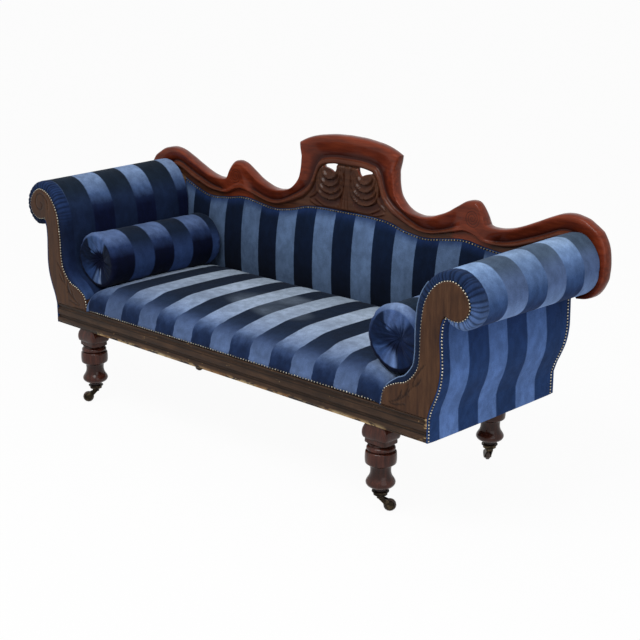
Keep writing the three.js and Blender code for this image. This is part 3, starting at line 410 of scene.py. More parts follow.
def velvet(name, stripes, first, second, height, trim=None):
    """Striped velvet: each kind of stripe has its own tones, which change with the slope of the cloth; that
    change is painted light and shade, the pile's sheen as light falls on each slope
    """
    look = Look(name, Roughness=0.9, Specular_IOR_Level=0.08, Sheen_Weight=0.05, Sheen_Roughness=0.4)
    look.shader.inputs["Sheen Tint"].default_value = (0.62, 0.74, 1, 1)
    broad = look.noise(7, 3, start=2.1)
    crushed = look.noise(38, 4, (1, 1, 0.7), start=5.4, roughness=0.6)
    fine = look.noise(420, 2, start=1.7)
    # slope sets each stripe's painted light and shade
    slope = height(look) + (crushed - 0.5) * 0.012
    cloth = look.mix(stripes(look), look.tones(slope, first), look.tones(slope, second))
    if trim:
        cloth = trim(look, cloth)
    shade = look.spread(broad, 0.3, 0.7, 0.86, 1.1)
    rubbed = look.spread(crushed, 0.3, 0.72, 0.84, 1.2)
    nap = look.spread(fine, 0.3, 0.7, 0.86, 1.1)
    uneven = shade * (rubbed * nap)
    look.colour(look.mix(1.0, cloth, uneven, "MULTIPLY"))
    first_bump = look.bump(fine, 0.0008, 0.7)
    look.bump(crushed, 0.004, 0.35, first_bump)
    return look.material


def wobble(look, amount=0.0012):
    """Small unevenness of a stripe's edge"""
    return (look.noise(170, 2, start=8) - 0.5) * (amount * 2)


def stripes_along_x(start, wide):
    """Stripes across the sofa, the second kind's middle at start"""
    def second(look):
        place = look.x - start + wobble(look)
        edge = wide / 2
        return look.spread(look.math("PINGPONG", place, wide), edge - 0.0015, edge + 0.0015, 1, 0)
    return second


BANDS_REACH = 700


def bands_along_y(edges, begins_second, tilt=0.0):
    """Bands of both kinds with these edges in millimetres from the front; tilt moves their feet back"""
    def second(look):
        lean = (look.z - 0.49) * tilt
        place = from_front(look) + lean + wobble(look)
        now = 1.0 if begins_second else 0.0
        marks = [(0, now)]
        for edge in edges:
            marks += [(edge / BANDS_REACH - 0.0022, now), (edge / BANDS_REACH + 0.0022, 1 - now)]
            now = 1 - now
        return look.ramp(place / (BANDS_REACH / 1000), [(mark, (n, n, n, 1)) for mark, n in marks])
    return second


def from_front(look):
    """Metres behind the front rail's face"""
    return look.y + SHIFT / 1000


def up(look):
    return look.z


def gathered(side, petals):
    """The wedges gathered into a bolster's ends, by their angle in degrees, over its bands"""
    low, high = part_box(side + "_bolster")
    middle = (low + high) / 2
    def trim(look, cloth):
        dx = look.x - middle.x
        dz = look.z - (middle.z - (0.005 if side == "left" else 0))
        radius = look.distance(dx, dz)
        angle = look.math("WRAP", look.math("ARCTAN2", dz, dx) * (180 / math.pi), 360.0, 0.0)
        near = look.spread(radius, 0.085, 0.02, 0, 1)
        swing = look.spread(angle, 70, 120) * look.spread(angle, 230, 190) * near
        turned = angle - swing * 42.0
        uneven = (look.noise(14, 2) - 0.5) * 9.0
        ends = look.tones(turned + uneven, petals)
        # Painted light and shade across the gathered folds
        folds = look.noise(9, 2, (1, 1, 1), start=4)
        fold_shade_lines = look.math("SINE", turned * 0.3 + folds * 9.0)
        ends = look.mix(1.0, ends, look.spread(fold_shade_lines, -1, 1, 0.86, 1.1), "MULTIPLY")
        # The dark middle is painted shade in the gathered hole
        ends = look.mix(look.spread(radius, 0.013, 0.005), ends, rgb(5, 7, 12))
        at_end = look.spread(look.math("ABSOLUTE", look.y - middle.y), 0.231, 0.239)
        inside = look.spread(radius, 0.084, 0.089, 1, 0) * at_end
        return look.mix(inside, cloth, ends)
    return trim


def tone_list(*stops):
    """Colours at values, each given as a value and the 0 to 255 of its parts"""
    return [(stop[0], rgb(*stop[1:])) for stop in stops]


def mahogany():
    """Polished red wood, browner in the carving, with painted shade in the groove, the cove and the carving's
    recesses
    """
    look = Look("crest_wood", Coat_Weight=0.24, Coat_Roughness=0.1, Specular_IOR_Level=0.05)
    grain = look.noise(9, 5, (1, 9, 9), roughness=0.62)
    broad = look.noise(5, 2, start=3)
    polished = look.shades(grain, (0.3, 84, 32, 16), (0.5, 104, 41, 21), (0.7, 122, 53, 29))
    carved = look.shades(grain, (0.3, 50, 27, 17), (0.55, 70, 40, 25), (0.75, 84, 51, 32))
    wood = look.mix(look.value("carved"), polished, carved)
    wood = look.mix(1.0, wood, look.spread(broad, 0.3, 0.7, 0.82, 1.12), "MULTIPLY")
    # Painted shade in the groove, down the cove and in the carving's recesses
    wood = look.mix(look.value("recess_shade"), wood, rgb(44, 10, 4))
    # The small scrolls' spiral lines: bumped, and painted darker as shade in their cuts
    dx = look.math("ABSOLUTE", look.x) - 0.544
    dz = look.z - 0.77
    radius = look.distance(dx, dz)
    winding = look.math("SINE", radius * 700.0 - look.math("ARCTAN2", dz, dx))
    scroll = look.spread(winding, 0.3, 0.95) * look.spread(radius, 0.027, 0.034, 1, 0)
    scroll = scroll * look.spread(from_front(look), 0.6, 0.612, 1, 0)
    look.colour(look.mix(scroll * 0.5, wood, rgb(44, 12, 5)))
    dull = look.math("MAXIMUM", look.value("carved"), look.value("recess_shade"))
    look.rough(look.spread(grain * 0.4 + dull, 0, 1.3, 0.26, 0.85))
    look.bump(scroll * -1.0, 0.0016, 0.8, look.bump(grain, 0.0006, 0.3))
    return look.material


def facing_wood():
    """Red-brown wood of the arm facings, upright grain, stained darker in places"""
    look = Look("facing_wood", Coat_Weight=0.05, Coat_Roughness=0.35, Specular_IOR_Level=0.1)
    grain = look.noise(8, 5, (10, 10, 1.3), roughness=0.62)
    stains = look.noise(9, 4, start=4)
    wood = look.shades(grain, (0.3, 50, 30, 20), (0.52, 69, 45, 30), (0.72, 84, 58, 40))
    wood = look.mix(look.spread(stains, 0.5, 0.75, 0, 0.5), wood, rgb(44, 28, 21))
    # Painted shade in the cut leaves and volute
    look.colour(look.mix(look.value("recess_shade"), wood, rgb(22, 11, 8)))
    look.rough(look.spread(grain, 0.3, 0.7, 0.38, 0.56))
    look.bump(grain, 0.0005, 0.5)
    return look.material


def rail_wood():
    """Old dull brown wood with pale chips along its lower edge"""
    look = Look("show_wood", Coat_Weight=0.05, Coat_Roughness=0.35, Specular_IOR_Level=0.12)
    grain = look.noise(8, 5, (1.2, 10, 10), roughness=0.65)
    stains = look.noise(11, 4, start=4)
    wood = look.shades(grain, (0.3, 38, 26, 19), (0.52, 60, 43, 32), (0.72, 82, 61, 45))
    wood = look.mix(look.spread(stains, 0.45, 0.75, 0, 0.6), wood, rgb(33, 23, 17))
    # Painted shade in the moulding's quirks
    wood = look.mix(look.value("recess_shade"), wood, rgb(16, 11, 8))
    low = look.spread(look.z, RAIL_BOTTOM / 1000 + 0.002, RAIL_BOTTOM / 1000 + 0.015, 1, 0)
    end = look.spread(look.x, RAIL_HALF / 1000 - 0.012, RAIL_HALF / 1000 - 0.001) * 0.9
    low = look.math("MAXIMUM", low, end * look.spread(from_front(look), 0.03, 0.005))
    spots = look.spread(look.noise(30, 4, (1, 1, 2.5), start=6, roughness=0.7), 0.46, 0.5)
    worn = look.spread(look.math("ABSOLUTE", look.x + 0.02), 0.5, 0.3, 0, 0.85)
    where = look.math("MAXIMUM", look.spread(look.noise(3.2, 1, start=9), 0.42, 0.52), worn)
    chips = low * spots * where
    specks = look.spread(look.noise(55, 3, (0.8, 1, 1.6), start=12, roughness=0.7), 0.67, 0.7, 0, 0.5)
    chips = look.math("MAXIMUM", chips, specks * where)
    wood = look.mix(chips, wood, look.shades(stains, (0.35, 150, 104, 56), (0.65, 206, 180, 134)))
    look.colour(wood)
    look.rough(look.spread(grain, 0.3, 0.7, 0.42, 0.62))
    look.bump(grain - chips * 2.0, 0.0006, 0.6)
    return look.material


def leg_wood():
    """Dark red polished wood of the legs"""
    look = Look("leg_wood", Coat_Weight=0.35, Coat_Roughness=0.14, Specular_IOR_Level=0.08)
    grain = look.noise(10, 5, (9, 9, 1.2), roughness=0.62)
    wood = look.shades(grain, (0.3, 40, 17, 12), (0.52, 61, 29, 21), (0.72, 82, 44, 34))
    # Painted shade in the turning's quirks and narrow parts and under the block
    look.colour(look.mix(look.value("recess_shade"), wood, rgb(14, 7, 6)))
    look.rough(look.spread(grain, 0.3, 0.7, 0.26, 0.42))
    look.bump(grain, 0.0005, 0.4)
    return look.material


def beech():
    look = Look("frame_wood", Specular_IOR_Level=0.3)
    grain = look.noise(14, 4, (1, 8, 8), roughness=0.6)
    look.colour(look.shades(grain, (0.3, 78, 56, 38), (0.7, 112, 84, 58)))
    look.rough(look.spread(grain, 0.3, 0.7, 0.6, 0.8))
    look.bump(grain, 0.0006, 0.5)
    return look.material


def metal(name, dark, mid, bright, shine):
    look = Look(name, Metallic=1.0)
    spots = look.noise(60, 4, start=3, roughness=0.65)
    look.colour(look.shades(spots, (0.35, *dark), (0.52, *mid), (0.68, *bright)))
    look.rough(look.spread(spots, 0.3, 0.7, shine + 0.2, shine))
    look.bump(spots, 0.0005, 0.5)
    return look.material


def wheel_brown():
    look = Look("wheel_brown", Specular_IOR_Level=0.4)
    spots = look.noise(45, 4, start=5, roughness=0.6)
    look.colour(look.shades(spots, (0.35, 30, 21, 16), (0.65, 66, 48, 38)))
    look.rough(look.spread(spots, 0.3, 0.7, 0.35, 0.6))
    look.bump(spots, 0.0005, 0.5)
    return look.material


def jute():
    look = Look("webbing", Roughness=0.95, Specular_IOR_Level=0.1)
    weave = look.math("SINE", look.x * 2600.0) * look.math("SINE", look.y * 2600.0)
    hairs = look.noise(120, 3)
    look.colour(look.shades(weave * 0.2 + hairs, (0.3, 98, 76, 50), (0.75, 168, 142, 104)))
    look.bump(weave, 0.0008, 0.8)
    return look.material


MAHOGANY = mahogany()
RAIL_WOOD = rail_wood()
LEG_WOOD = leg_wood()
BEECH = beech()
BRONZE = metal("castor_bronze", (28, 24, 20), (48, 41, 33), (88, 76, 58), 0.4)
NAIL = metal("nail_brass", (120, 112, 96), (176, 170, 154), (214, 210, 198), 0.3)
OLD_NAIL = metal("nail_dull_brass", (84, 75, 54), (128, 116, 88), (162, 148, 116), 0.42)
FACING_WOOD = facing_wood()
WHEEL = wheel_brown()
JUTE = jute()

# Arms

FACING_INNER = [
    (0, 0), (0.007, 0.073), (0.036, 0.13), (0.109, 0.165), (0.192, 0.193), (0.278, 0.213), (0.358, 0.26),
    (0.427, 0.335), (0.45, 0.423), (0.455, 0.52), (0.457, 0.6), (0.47, 0.71), (0.497, 0.815), (0.56, 0.903),
    (0.639, 0.965), (0.735, 0.998), (0.835, 1), (0.925, 0.96), (0.983, 0.905), (1, 0.84), (0.97, 0.785),
    (0.9, 0.748), (0.821, 0.74), (0.728, 0.757),
]
FACING_OUTER = [
    (0.728, 0.757), (0.695, 0.705), (0.681, 0.6), (0.689, 0.48), (0.695, 0.36), (0.675, 0.248),
    (0.632, 0.155), (0.589, 0.08), (0.5563, 0),
]
PAD_FRONT = [
    (0, 0.05), (0.05, 0.3), (0.1, 0.52), (0.17, 0.72), (0.25, 0.82), (0.36, 0.86), (0.5, 0.93), (0.715, 0.82),
    (0.845, 0.98), (0.93, 0.88), (0.975, 0.5), (1, 0.15),
]
PAD_REAR = [
    (0, 0.05), (0.05, 0.3), (0.1, 0.52), (0.17, 0.72), (0.25, 0.82), (0.36, 0.88), (0.5, 1.02), (0.6, 1.12),
    (0.715, 1.28), (0.845, 0.62), (0.93, 1.1), (0.975, 0.6), (1, 0.15),
]
ARM_INNER = 692
ARM_REACH = 302
ARM_HEIGHT = 400
FACING_STEPS = 300
OUTER_STEPS = 60
PAD_START_SHARE = 0.0571
PANEL_START = OUTER_STEPS / 11
FACING_FRONT = 2
FACING_THICKNESS = 20
FACING_EDGE = 4
PAD_NOSE_START = 9
PAD_NOSE_LENGTH = 22
PAD_REAR_GAP = 42.3
PLEAT_FADE = 30
PIPING_BACK = 14
PIPING_RADIUS = 1.7
PANEL_STEPS = 40
PANEL_FRONT = 3
SIDE_BANDS = [40, 122, 212, 297, 391, 487]


def facing_point(share):
    return Vector((ARM_INNER + share[0] * ARM_REACH, ARM_BASE + share[1] * ARM_HEIGHT))


facing_inner = spline([facing_point(s) for s in FACING_INNER], FACING_STEPS)
facing_outer = spline([facing_point(s) for s in FACING_OUTER], OUTER_STEPS)
facing_outline = facing_inner + facing_outer[1:]
pad_path = facing_inner[round(PAD_START_SHARE * FACING_STEPS):]
pad_normals = normals(pad_path)


def pad_thickness(way, back):
    """Of the stuffing at shares along the arm's outline and from its front to its back"""
    front, rear = line_at(PAD_FRONT, way), line_at(PAD_REAR, way)
    return max((front + (rear - front) * back) * PAD_THICKNESS, 0.6) + FIT


def relief(outline, spacing, y, height):
    """Front of a flat board, raised and cut by height(x, z)"""
    xs = [p.x for p in outline]
    zs = [p.y for p in outline]
    inner = []
    for i in range(int((max(xs) - min(xs)) / spacing) + 1):
        for j in range(int((max(zs) - min(zs)) / spacing) + 1):
            p = Vector((min(xs) + (i + 0.5 * (j % 2)) * spacing, min(zs) + j * spacing))
            if within(outline, p) and line_distance(outline + outline[:1], p)[0] > spacing * 0.6:
                inner.append(p)
    ring = list(range(len(outline)))
    found = delaunay_2d_cdt(outline + inner, [], [ring], 1, 1e-5)
    points = [Vector((p.x, y - height(p.x, p.y), p.y)) for p in found[0]]
    return points, [tuple(f) for f in found[2]]


def within(outline, p):
    """Whether a flat point lies inside a closed outline"""
    inside = False
    for a, b in zip(outline, outline[1:] + outline[:1]):
        if (a.y > p.y) != (b.y > p.y) and p.x < a.x + (b.x - a.x) * (p.y - a.y) / (b.y - a.y):
            inside = not inside
    return inside


def in_front(flat, y):
    return Vector((flat.x, y, flat.y))


LEAF_LINES = [
    [(722, 362), (750, 374), (778, 392), (800, 418)],
    [(726, 358), (756, 362), (786, 370)],
    [(752, 376), (764, 392), (768, 408)],
    [(770, 388), (786, 398), (796, 396)],
    [(776, 392), (790, 414), (792, 432)],
    [(802, 420), (812, 446), (808, 470)],
    [(804, 424), (826, 438), (838, 462)],
    [(812, 448), (830, 476), (850, 500)],
]


def facing_height(cuts, x, z):
    """Lines cut into the board's face"""
    p = Vector((x, z))
    cut = 0
    for line in cuts:
        d, way = line_distance(line, p)
        wide = 2.4 * math.sin(math.pi * (0.08 + 0.84 * way)) + 0.9
        cut = max(cut, 1.9 * max(0, 1 - (d / wide) ** 2))
    return -cut


leaf_curves = [spline(line, 8) for line in LEAF_LINES]
volute = [
    Vector((932 + math.cos(a) * r, 694 + math.sin(a) * r))
    for a, r in ((3.5 - 0.16 * i, 47 - 0.86 * i) for i in range(50))
]


# How far back and how far in the facing's rounded edge runs
FACING_ROUND = (
    (FACING_THICKNESS - FACING_FRONT, 0), (4, 0), (2, 0.5), (0.8, 1.6), (0.2, 2.8), (0, FACING_EDGE),
)


def add_facing(side, name):
    rings = [
        [in_front(p, FACING_FRONT + back) for p in drawn_in(facing_outline, inset)]
        for back, inset in FACING_ROUND
    ]
    rim = drawn_in(facing_outline, FACING_EDGE)
    n = len(facing_outline)
    points = [p for ring in rings for p in ring]
    faces = grid_faces(len(rings), n, True) + [tuple(range(n))]
    cuts = leaf_curves + ([volute] if side < 0 else [])
    board, board_faces = relief(rim, 4, FACING_FRONT, lambda x, z: facing_height(cuts, x, z))
    first = len(points)
    points += board
    faces += [tuple(first + i for i in f) for f in board_faces]
    # dark: painted shade in the cuts, more where they are deeper
    dark = [0] * first + [0.75 * min(max(p.y - 2.3, 0) / 1.2, 1) for p in board]
    make(
        name + "_facing_board", (on_side(side, points), faces), FACING_WOOD,
        [name + "_arm_facing"], sharp=50, values={"recess_shade": dark},
    )


def pad_ring(back_share, y, thick, pleat, push, lean):
    """Section of an arm's pad: lining, then cover"""
    last = len(pad_path) - 1
    lining = [p + n * FIT for p, n in zip(pad_path, pad_normals)]
    cover = []
    for i, (p, n) in enumerate(zip(pad_path, pad_normals)):
        way = i / last
        here = pleats[i] * (0.12 + 0.88 * step(0.42, 0.6, way)) * step(1, 0.985, way)
        cover.append((p + n * max(pad_thickness(way, back_share) * thick + pleat * here, 0.6), push * here))
    ring = [(p, 0) for p in lining] + cover[::-1]
    if lean:
        return [raked(p.x, p.y, y) for p, _ in ring]
    return [in_front(p, y - out) for p, out in ring]


def pleat_waves(count, seed):
    """Uneven folds along a line"""
    rng = random.Random(seed)
    out, phase = [], 0
    width = rng.uniform(0.8, 1.2)
    for _ in range(count):
        phase += 1 / (3.7 * width)
        if phase > 1:
            phase -= 1
            width = rng.uniform(0.55, 1.75)
        out.append(abs(math.sin(math.pi * phase)) - 0.6)
    return out


pleats = pleat_waves(len(pad_path), 11)


def nose_trim(edge, along_pad):
    """The pad's gathered front border: tones along its path, which are painted light and shade, with painted
    shade between its pleats and painted highlight on their ridges
    """
    def trim(look, cloth):
        border = look.tones(look.value("way"), along_pad)
        # Painted shade in the pleats' valleys and painted highlight on their ridges
        border = look.mix(1.0, border, look.spread(look.value("fold"), 0.1, 0.9, 0.46, 1.16), "MULTIPLY")
        front = look.spread(from_front(look), (edge - 1.5) / 1000, (edge + 1.5) / 1000, 1, 0)
        return look.mix(front, cloth, border)
    return trim


def add_pad(side, name, edges, begins_second, first, second, along_pad):
    rings, depths = [], []
    for k in range(15):
        way = k / 14
        thick = 0.06 + 0.94 * math.sqrt(1 - (1 - way) ** 2.4)
        y = PAD_NOSE_START + way**1.6 * PAD_NOSE_LENGTH
        rings.append(pad_ring(0, y, thick, 2.2 * way**0.5, 2.8 * (1 - way * 0.7), False))
        depths.append(1)
    front, rear = PAD_NOSE_START + PAD_NOSE_LENGTH, FRAME_DEPTH - PAD_REAR_GAP
    for k in range(1, 41):
        way = (k / 41) ** 1.3
        y = front + (rear - front) * way
        fade = max(0, 1 - (y - front) / PLEAT_FADE)
        rings.append(pad_ring(way, y, 1, 2.0 * fade, 0.8 * fade, False))
        depths.append(fade)
    rings.append(pad_ring(1, -PAD_REAR_GAP, 1, 0, 0, True))
    depths.append(0)
    points, faces = loft(rings)
    n = len(pad_path)
    ways = [i / (n - 1) for i in range(n)]
    ways = (ways + ways[::-1]) * len(rings)
    # fold: painted shade in the nose's pleat valleys and painted highlight on their ridges
    folds = []
    for depth in depths:
        cover = [0.5 + (pleats[i] + 0.1) * depth * step(0.42, 0.6, i / (n - 1)) for i in range(n)]
        folds += [0.5] * n + cover[::-1]
    bands = bands_along_y(edges, begins_second)
    cloth = velvet(name + "_arm_velvet", bands, first, second, up, nose_trim(edges[0], along_pad))
    pad = make(
        name + "_arm_cover", (on_side(side, points), faces), cloth, [name + "_arm_pad"],
        sharp=60, values={"way": ways, "fold": folds},
    )
    if side > 0:
        path = [
            in_front(p + out * (pad_thickness(way, 0) * 0.93), PIPING_BACK)
            for p, out, way in zip(pad_path, pad_normals, ways) if 0.02 < way < 0.6
        ]
        make(name + "_arm_piping", tube(path[::2], PIPING_RADIUS), PIPING, sharp=80)


def add_side_panel(side, name):
    start = facing_outer[0].lerp(facing_outer[round(PANEL_START)], 0.35)
    upright = [start] + [p for i, p in enumerate(facing_outer) if i >= PANEL_START]
    path = evenly(upright + [Vector((RAIL_HALF, RAIL_TOP)), Vector((RAIL_HALF, RAIL_BOTTOM))], 90)
    out = normals(path)
    out[-1] = Vector((1, 0))
    rings = []
    for k in range(PANEL_STEPS + 1):
        way = k / PANEL_STEPS
        ring = [p + n * FIT for p, n in zip(path, out)]
        belly = 1 + 0.35 * math.sin(math.pi * way)
        ends = 0.55 + 0.45 * step(0, 0.04, way) * step(1, 0.96, way)
        thick = FIT + 6 * min(belly, 1.25) * ends
        ring += [p + n * thick for p, n in zip(path, out)][::-1]
        rings.append([
            Vector((p.x, PANEL_FRONT + (raked(p.x, p.y, 0).y - PANEL_FRONT) * way, p.y)) for p in ring
        ])
    points, faces = loft(rings)
    bands = bands_along_y(SIDE_BANDS, True, 0.06)
    cloth = velvet(name + "_side_velvet", bands, SIDE_PALE, SIDE_DARK, up)
    shape = (on_side(side, points), faces)
    make(name + "_side_cover", shape, cloth, [name + "_outside_arm_panel"], sharp=60)


# Tones of the outside panels by height in metres: darker towards the top, painted shade under the arm's roll
SIDE_PALE = tone_list((0.27, 92, 122, 178), (0.45, 84, 114, 170), (0.62, 66, 94, 148))
SIDE_DARK = tone_list((0.27, 36, 60, 104), (0.45, 34, 58, 102), (0.62, 28, 48, 90))
# The piping's pale tone is a painted highlight, the light its rounded edge catches
PIPING_HIGHLIGHT = tone_list((0.3, 112, 134, 168), (0.7, 96, 118, 152))
PIPING = velvet("piping_velvet", stripes_along_x(0, 4), SIDE_DARK, PIPING_HIGHLIGHT, up)
# Tones of the arm pads by height in metres: how they change with height is painted light and shade of the
# pile, lighter where the cloth faces the light, darker in its shade
RIGHT_FIRST = tone_list(
    (0.3, 12, 20, 50), (0.585, 12, 20, 50), (0.605, 26, 44, 80), (0.645, 30, 50, 90), (0.69, 56, 82, 128),
    (0.735, 88, 115, 160), (0.765, 112, 140, 182), (0.79, 140, 165, 198),
)
RIGHT_SECOND = tone_list(
    (0.3, 28, 44, 80), (0.585, 28, 44, 80), (0.605, 132, 158, 204), (0.63, 116, 143, 190),
    (0.69, 86, 108, 152), (0.735, 82, 102, 140), (0.765, 70, 87, 110), (0.79, 68, 85, 105),
)
LEFT_FIRST = tone_list(
    (0.35, 14, 23, 54), (0.55, 8, 14, 42), (0.66, 9, 17, 46), (0.685, 20, 32, 62), (0.72, 66, 88, 128),
    (0.76, 104, 127, 164), (0.79, 122, 144, 180),
)
LEFT_SECOND = tone_list(
    (0.35, 24, 38, 68), (0.55, 19, 32, 58), (0.66, 20, 33, 60), (0.7, 25, 39, 66), (0.74, 22, 34, 50),
    (0.79, 19, 29, 40),
)
RIGHT_NOSE = tone_list(
    (0, 24, 37, 64), (0.2, 20, 33, 58), (0.45, 23, 38, 66), (0.62, 28, 44, 74), (0.72, 26, 42, 72),
    (0.8, 32, 50, 86), (0.87, 70, 93, 136), (1, 98, 122, 166),
)
LEFT_NOSE = tone_list(
    (0, 56, 80, 124), (0.08, 42, 62, 104), (0.2, 22, 36, 68), (0.42, 16, 28, 54), (0.55, 28, 45, 80),
    (0.7, 32, 50, 86), (0.85, 18, 30, 54), (1, 14, 24, 44),
)

for side, name in ((1, "right"), (-1, "left")):
    add_facing(side, name)
    add_side_panel(side, name)
add_pad(1, "right", [48, 132, 226, 319, 411, 504], True, RIGHT_FIRST, RIGHT_SECOND, RIGHT_NOSE)
add_pad(-1, "left", [47, 142, 233, 334, 422, 530], False, LEFT_FIRST, LEFT_SECOND, LEFT_NOSE)

# Crest

ARCH = [
    (0, 1), (0.066, 0.996), (0.093, 0.991), (0.12, 0.985), (0.146, 0.978), (0.173, 0.966), (0.199, 0.95),
    (0.219, 0.934),
]
SIDE = [
    (0.219, 0.934), (0.217, 0.912), (0.213, 0.89), (0.208, 0.864), (0.208, 0.838), (0.208, 0.813),
    (0.209, 0.787), (0.211, 0.761), (0.215, 0.737), (0.224, 0.713), (0.235, 0.692), (0.247, 0.675),
    (0.263, 0.661), (0.28, 0.652), (0.299, 0.647), (0.32, 0.644), (0.343, 0.647), (0.365, 0.654),
    (0.388, 0.667), (0.41, 0.681), (0.432, 0.699), (0.452, 0.72), (0.471, 0.739), (0.489, 0.757),
    (0.503, 0.765), (0.517, 0.768), (0.534, 0.764), (0.546, 0.747), (0.556, 0.725), (0.564, 0.7),
    (0.569, 0.678), (0.575, 0.66),
]
WING = [
    (0.575, 0.66), (0.591, 0.653), (0.613, 0.652), (0.632, 0.654), (0.652, 0.66), (0.674, 0.669),
    (0.695, 0.681), (0.717, 0.695), (0.739, 0.711), (0.763, 0.728), (0.785, 0.745), (0.808, 0.761),
    (0.83, 0.775), (0.851, 0.783), (0.874, 0.785), (0.898, 0.779), (0.922, 0.768), (0.941, 0.75),
    (0.958, 0.733), (0.969, 0.72), (0.979, 0.697), (0.988, 0.67), (0.994, 0.641), (0.998, 0.604), (1, 0.569),
    (1, 0.553),
]
EAR = [
    (1, 0.553), (0.999, 0.524), (0.998, 0.505), (0.992, 0.478), (0.982, 0.447), (0.967, 0.42), (0.946, 0.402),
    (0.917, 0.396),
]
GROOVE_ARCH = [(0, 0.885), (0.049, 0.884), (0.093, 0.876), (0.126, 0.86), (0.144, 0.826)]
GROOVE_SIDE = [
    (0.144, 0.826), (0.149, 0.806), (0.154, 0.785), (0.16, 0.76), (0.167, 0.736), (0.177, 0.712),
    (0.194, 0.686), (0.218, 0.659), (0.246, 0.634), (0.277, 0.609), (0.312, 0.587), (0.346, 0.58),
    (0.38, 0.586), (0.413, 0.6), (0.44, 0.615), (0.462, 0.628), (0.479, 0.64), (0.493, 0.648), (0.507, 0.648),
    (0.521, 0.642), (0.537, 0.632), (0.548, 0.62), (0.557, 0.608),
]
GROOVE_WING = [
    (0.557, 0.608), (0.571, 0.597), (0.599, 0.588), (0.637, 0.592), (0.674, 0.606), (0.709, 0.625),
    (0.745, 0.646), (0.778, 0.667), (0.808, 0.688), (0.833, 0.703), (0.856, 0.707), (0.877, 0.7),
    (0.896, 0.683), (0.912, 0.66), (0.923, 0.631), (0.931, 0.598), (0.935, 0.565), (0.936, 0.553),
]
LOWER = [
    (0, 0.591), (0.059, 0.59), (0.124, 0.588), (0.17, 0.583), (0.202, 0.573), (0.237, 0.556), (0.272, 0.545),
    (0.311, 0.536), (0.348, 0.535), (0.386, 0.543), (0.427, 0.553), (0.468, 0.5625), (0.507, 0.5625),
    (0.542, 0.553), (0.594, 0.5415), (0.642, 0.535), (0.676, 0.5385), (0.713, 0.5545), (0.753, 0.577),
    (0.798, 0.607), (0.844, 0.644),
]
PIERCED = [
    (0.048, 0.838), (0.078, 0.836), (0.102, 0.826), (0.109, 0.818), (0.089, 0.81), (0.074, 0.803),
    (0.06, 0.793), (0.05, 0.81),
]
MOULD = [
    (0, 1), (0.01, 0.72), (0.03, 0.42), (0.06, 0.18), (0.1, 0.05), (0.15, 0), (0.2, 0.02), (0.3, 0.12),
    (0.4, 0.26), (0.5, 0.42), (0.6, 0.58), (0.7, 0.74), (0.8, 0.88), (0.9, 1), (0.96, 1.08), (1, 1.15),
]
FADE = [(0, 1), (0.434, 1), (0.48, 0.1), (0.572, 0.1), (0.618, 1), (1, 1)]
RIM = [(0.3, 8), (0.2, 4), (0.12, -1), (0.04, -8)]
# Set back, as shares of the groove's depth, at distances from the groove in millimetres
FIELD = [
    (4, 1.1), (7, 1.02), (9, 0.72), (12, 0.46), (16, 0.34), (20, 0.33), (24, 0.42), (27, 0.62), (29, 0.95),
    (31, 1.12),
]
ARCH_END_SHARE = 0.0737
SIDE_END_SHARE = 0.55
WING_TURN_SHARE = 11 / 15
DROP_STEPS = 30


def crest_point(share):
    return Vector((share[0] * CREST_HALF, RAIL_TOP + share[1] * CREST_HEIGHT))


lower_line = spline([crest_point(s) for s in LOWER], 200)
lower_table = [(p.x, p.y) for p in lower_line]


def lower_edge(x):
    """Height of the crest's lower edge"""
    return line_at(lower_table, abs(x))


LOBES = [(42, 812), (50, 787), (58, 764), (64, 743)]
TIPS = [
    [(22, 736), (60, 722), (104, 722), (146, 740)], [(20, 722), (70, 713), (120, 714), (168, 728)],
    [(128, 800), (138, 775), (150, 758)], [(138, 775), (152, 755), (172, 742)],
]
tip_curves = [spline(line, 6) for line in TIPS]


def carving(x, z):
    """Height of the cartouche's carving over its sunk ground, in millimetres"""
    x = abs(x)
    if x > 185 or z < 704:
        return 0
    h = 0
    for k, line in enumerate(tip_curves):
        d, way = line_distance(line, Vector((x, z)))
        wide = 8 - 4 * way
        if d < wide:
            h = max(h, (7 - 2 * way) * (1 - (d / wide) ** 2) ** 0.6 - 1.6 * max(0, 1 - d / 1.6))
    for k, (half, bottom) in enumerate(LOBES):
        middle = bottom + 44
        r = abs(x - 80) / half if z >= middle else math.hypot((x - 80) / half, (z - middle) / 44)
        if r < 1:
            e = (1 - r) * half
            top = 13.5 - 1.3 * k
            rim = top * (0.35 + 0.65 * step(-1, 3.5, e)) - (top * 0.72) * step(4.5, 17, e)
            vein = 0.7 * math.cos(e * 1.1) * step(6, 10, e)
            h = max(h * 0.4, rim + vein) if k else rim + vein
            break
    wide = 16 + 24 * step(800, 715, z)
    if x < wide:
        reeds = 2.4 * (0.5 - 0.5 * math.cos(2 * math.pi * 2.5 * x / wide)) * step(830, 780, z)
        h = max(h, 10.5 * (1 - (x / wide) ** 4) - reeds)
    return h


def field_depth(fade, way_mm, reach, x, z):
    """Set back of the crest's field below the groove, and the share that is carved"""
    k = min(1, reach / 60)
    base = at(FIELD, way_mm / k) * GROOVE_DEPTH if way_mm / k > FIELD[0][0] else GROOVE_DEPTH * 1.1
    base *= 1 + (fade - 1) * step(32 * k, 22 * k, way_mm)
    inside = step(29 * k, 34 * k, way_mm) * step(0, 7, reach - way_mm)
    return base - inside * carving(x, z) * 0.95, inside


FIELD_WAYS = 46
MOULD_WAYS = 30


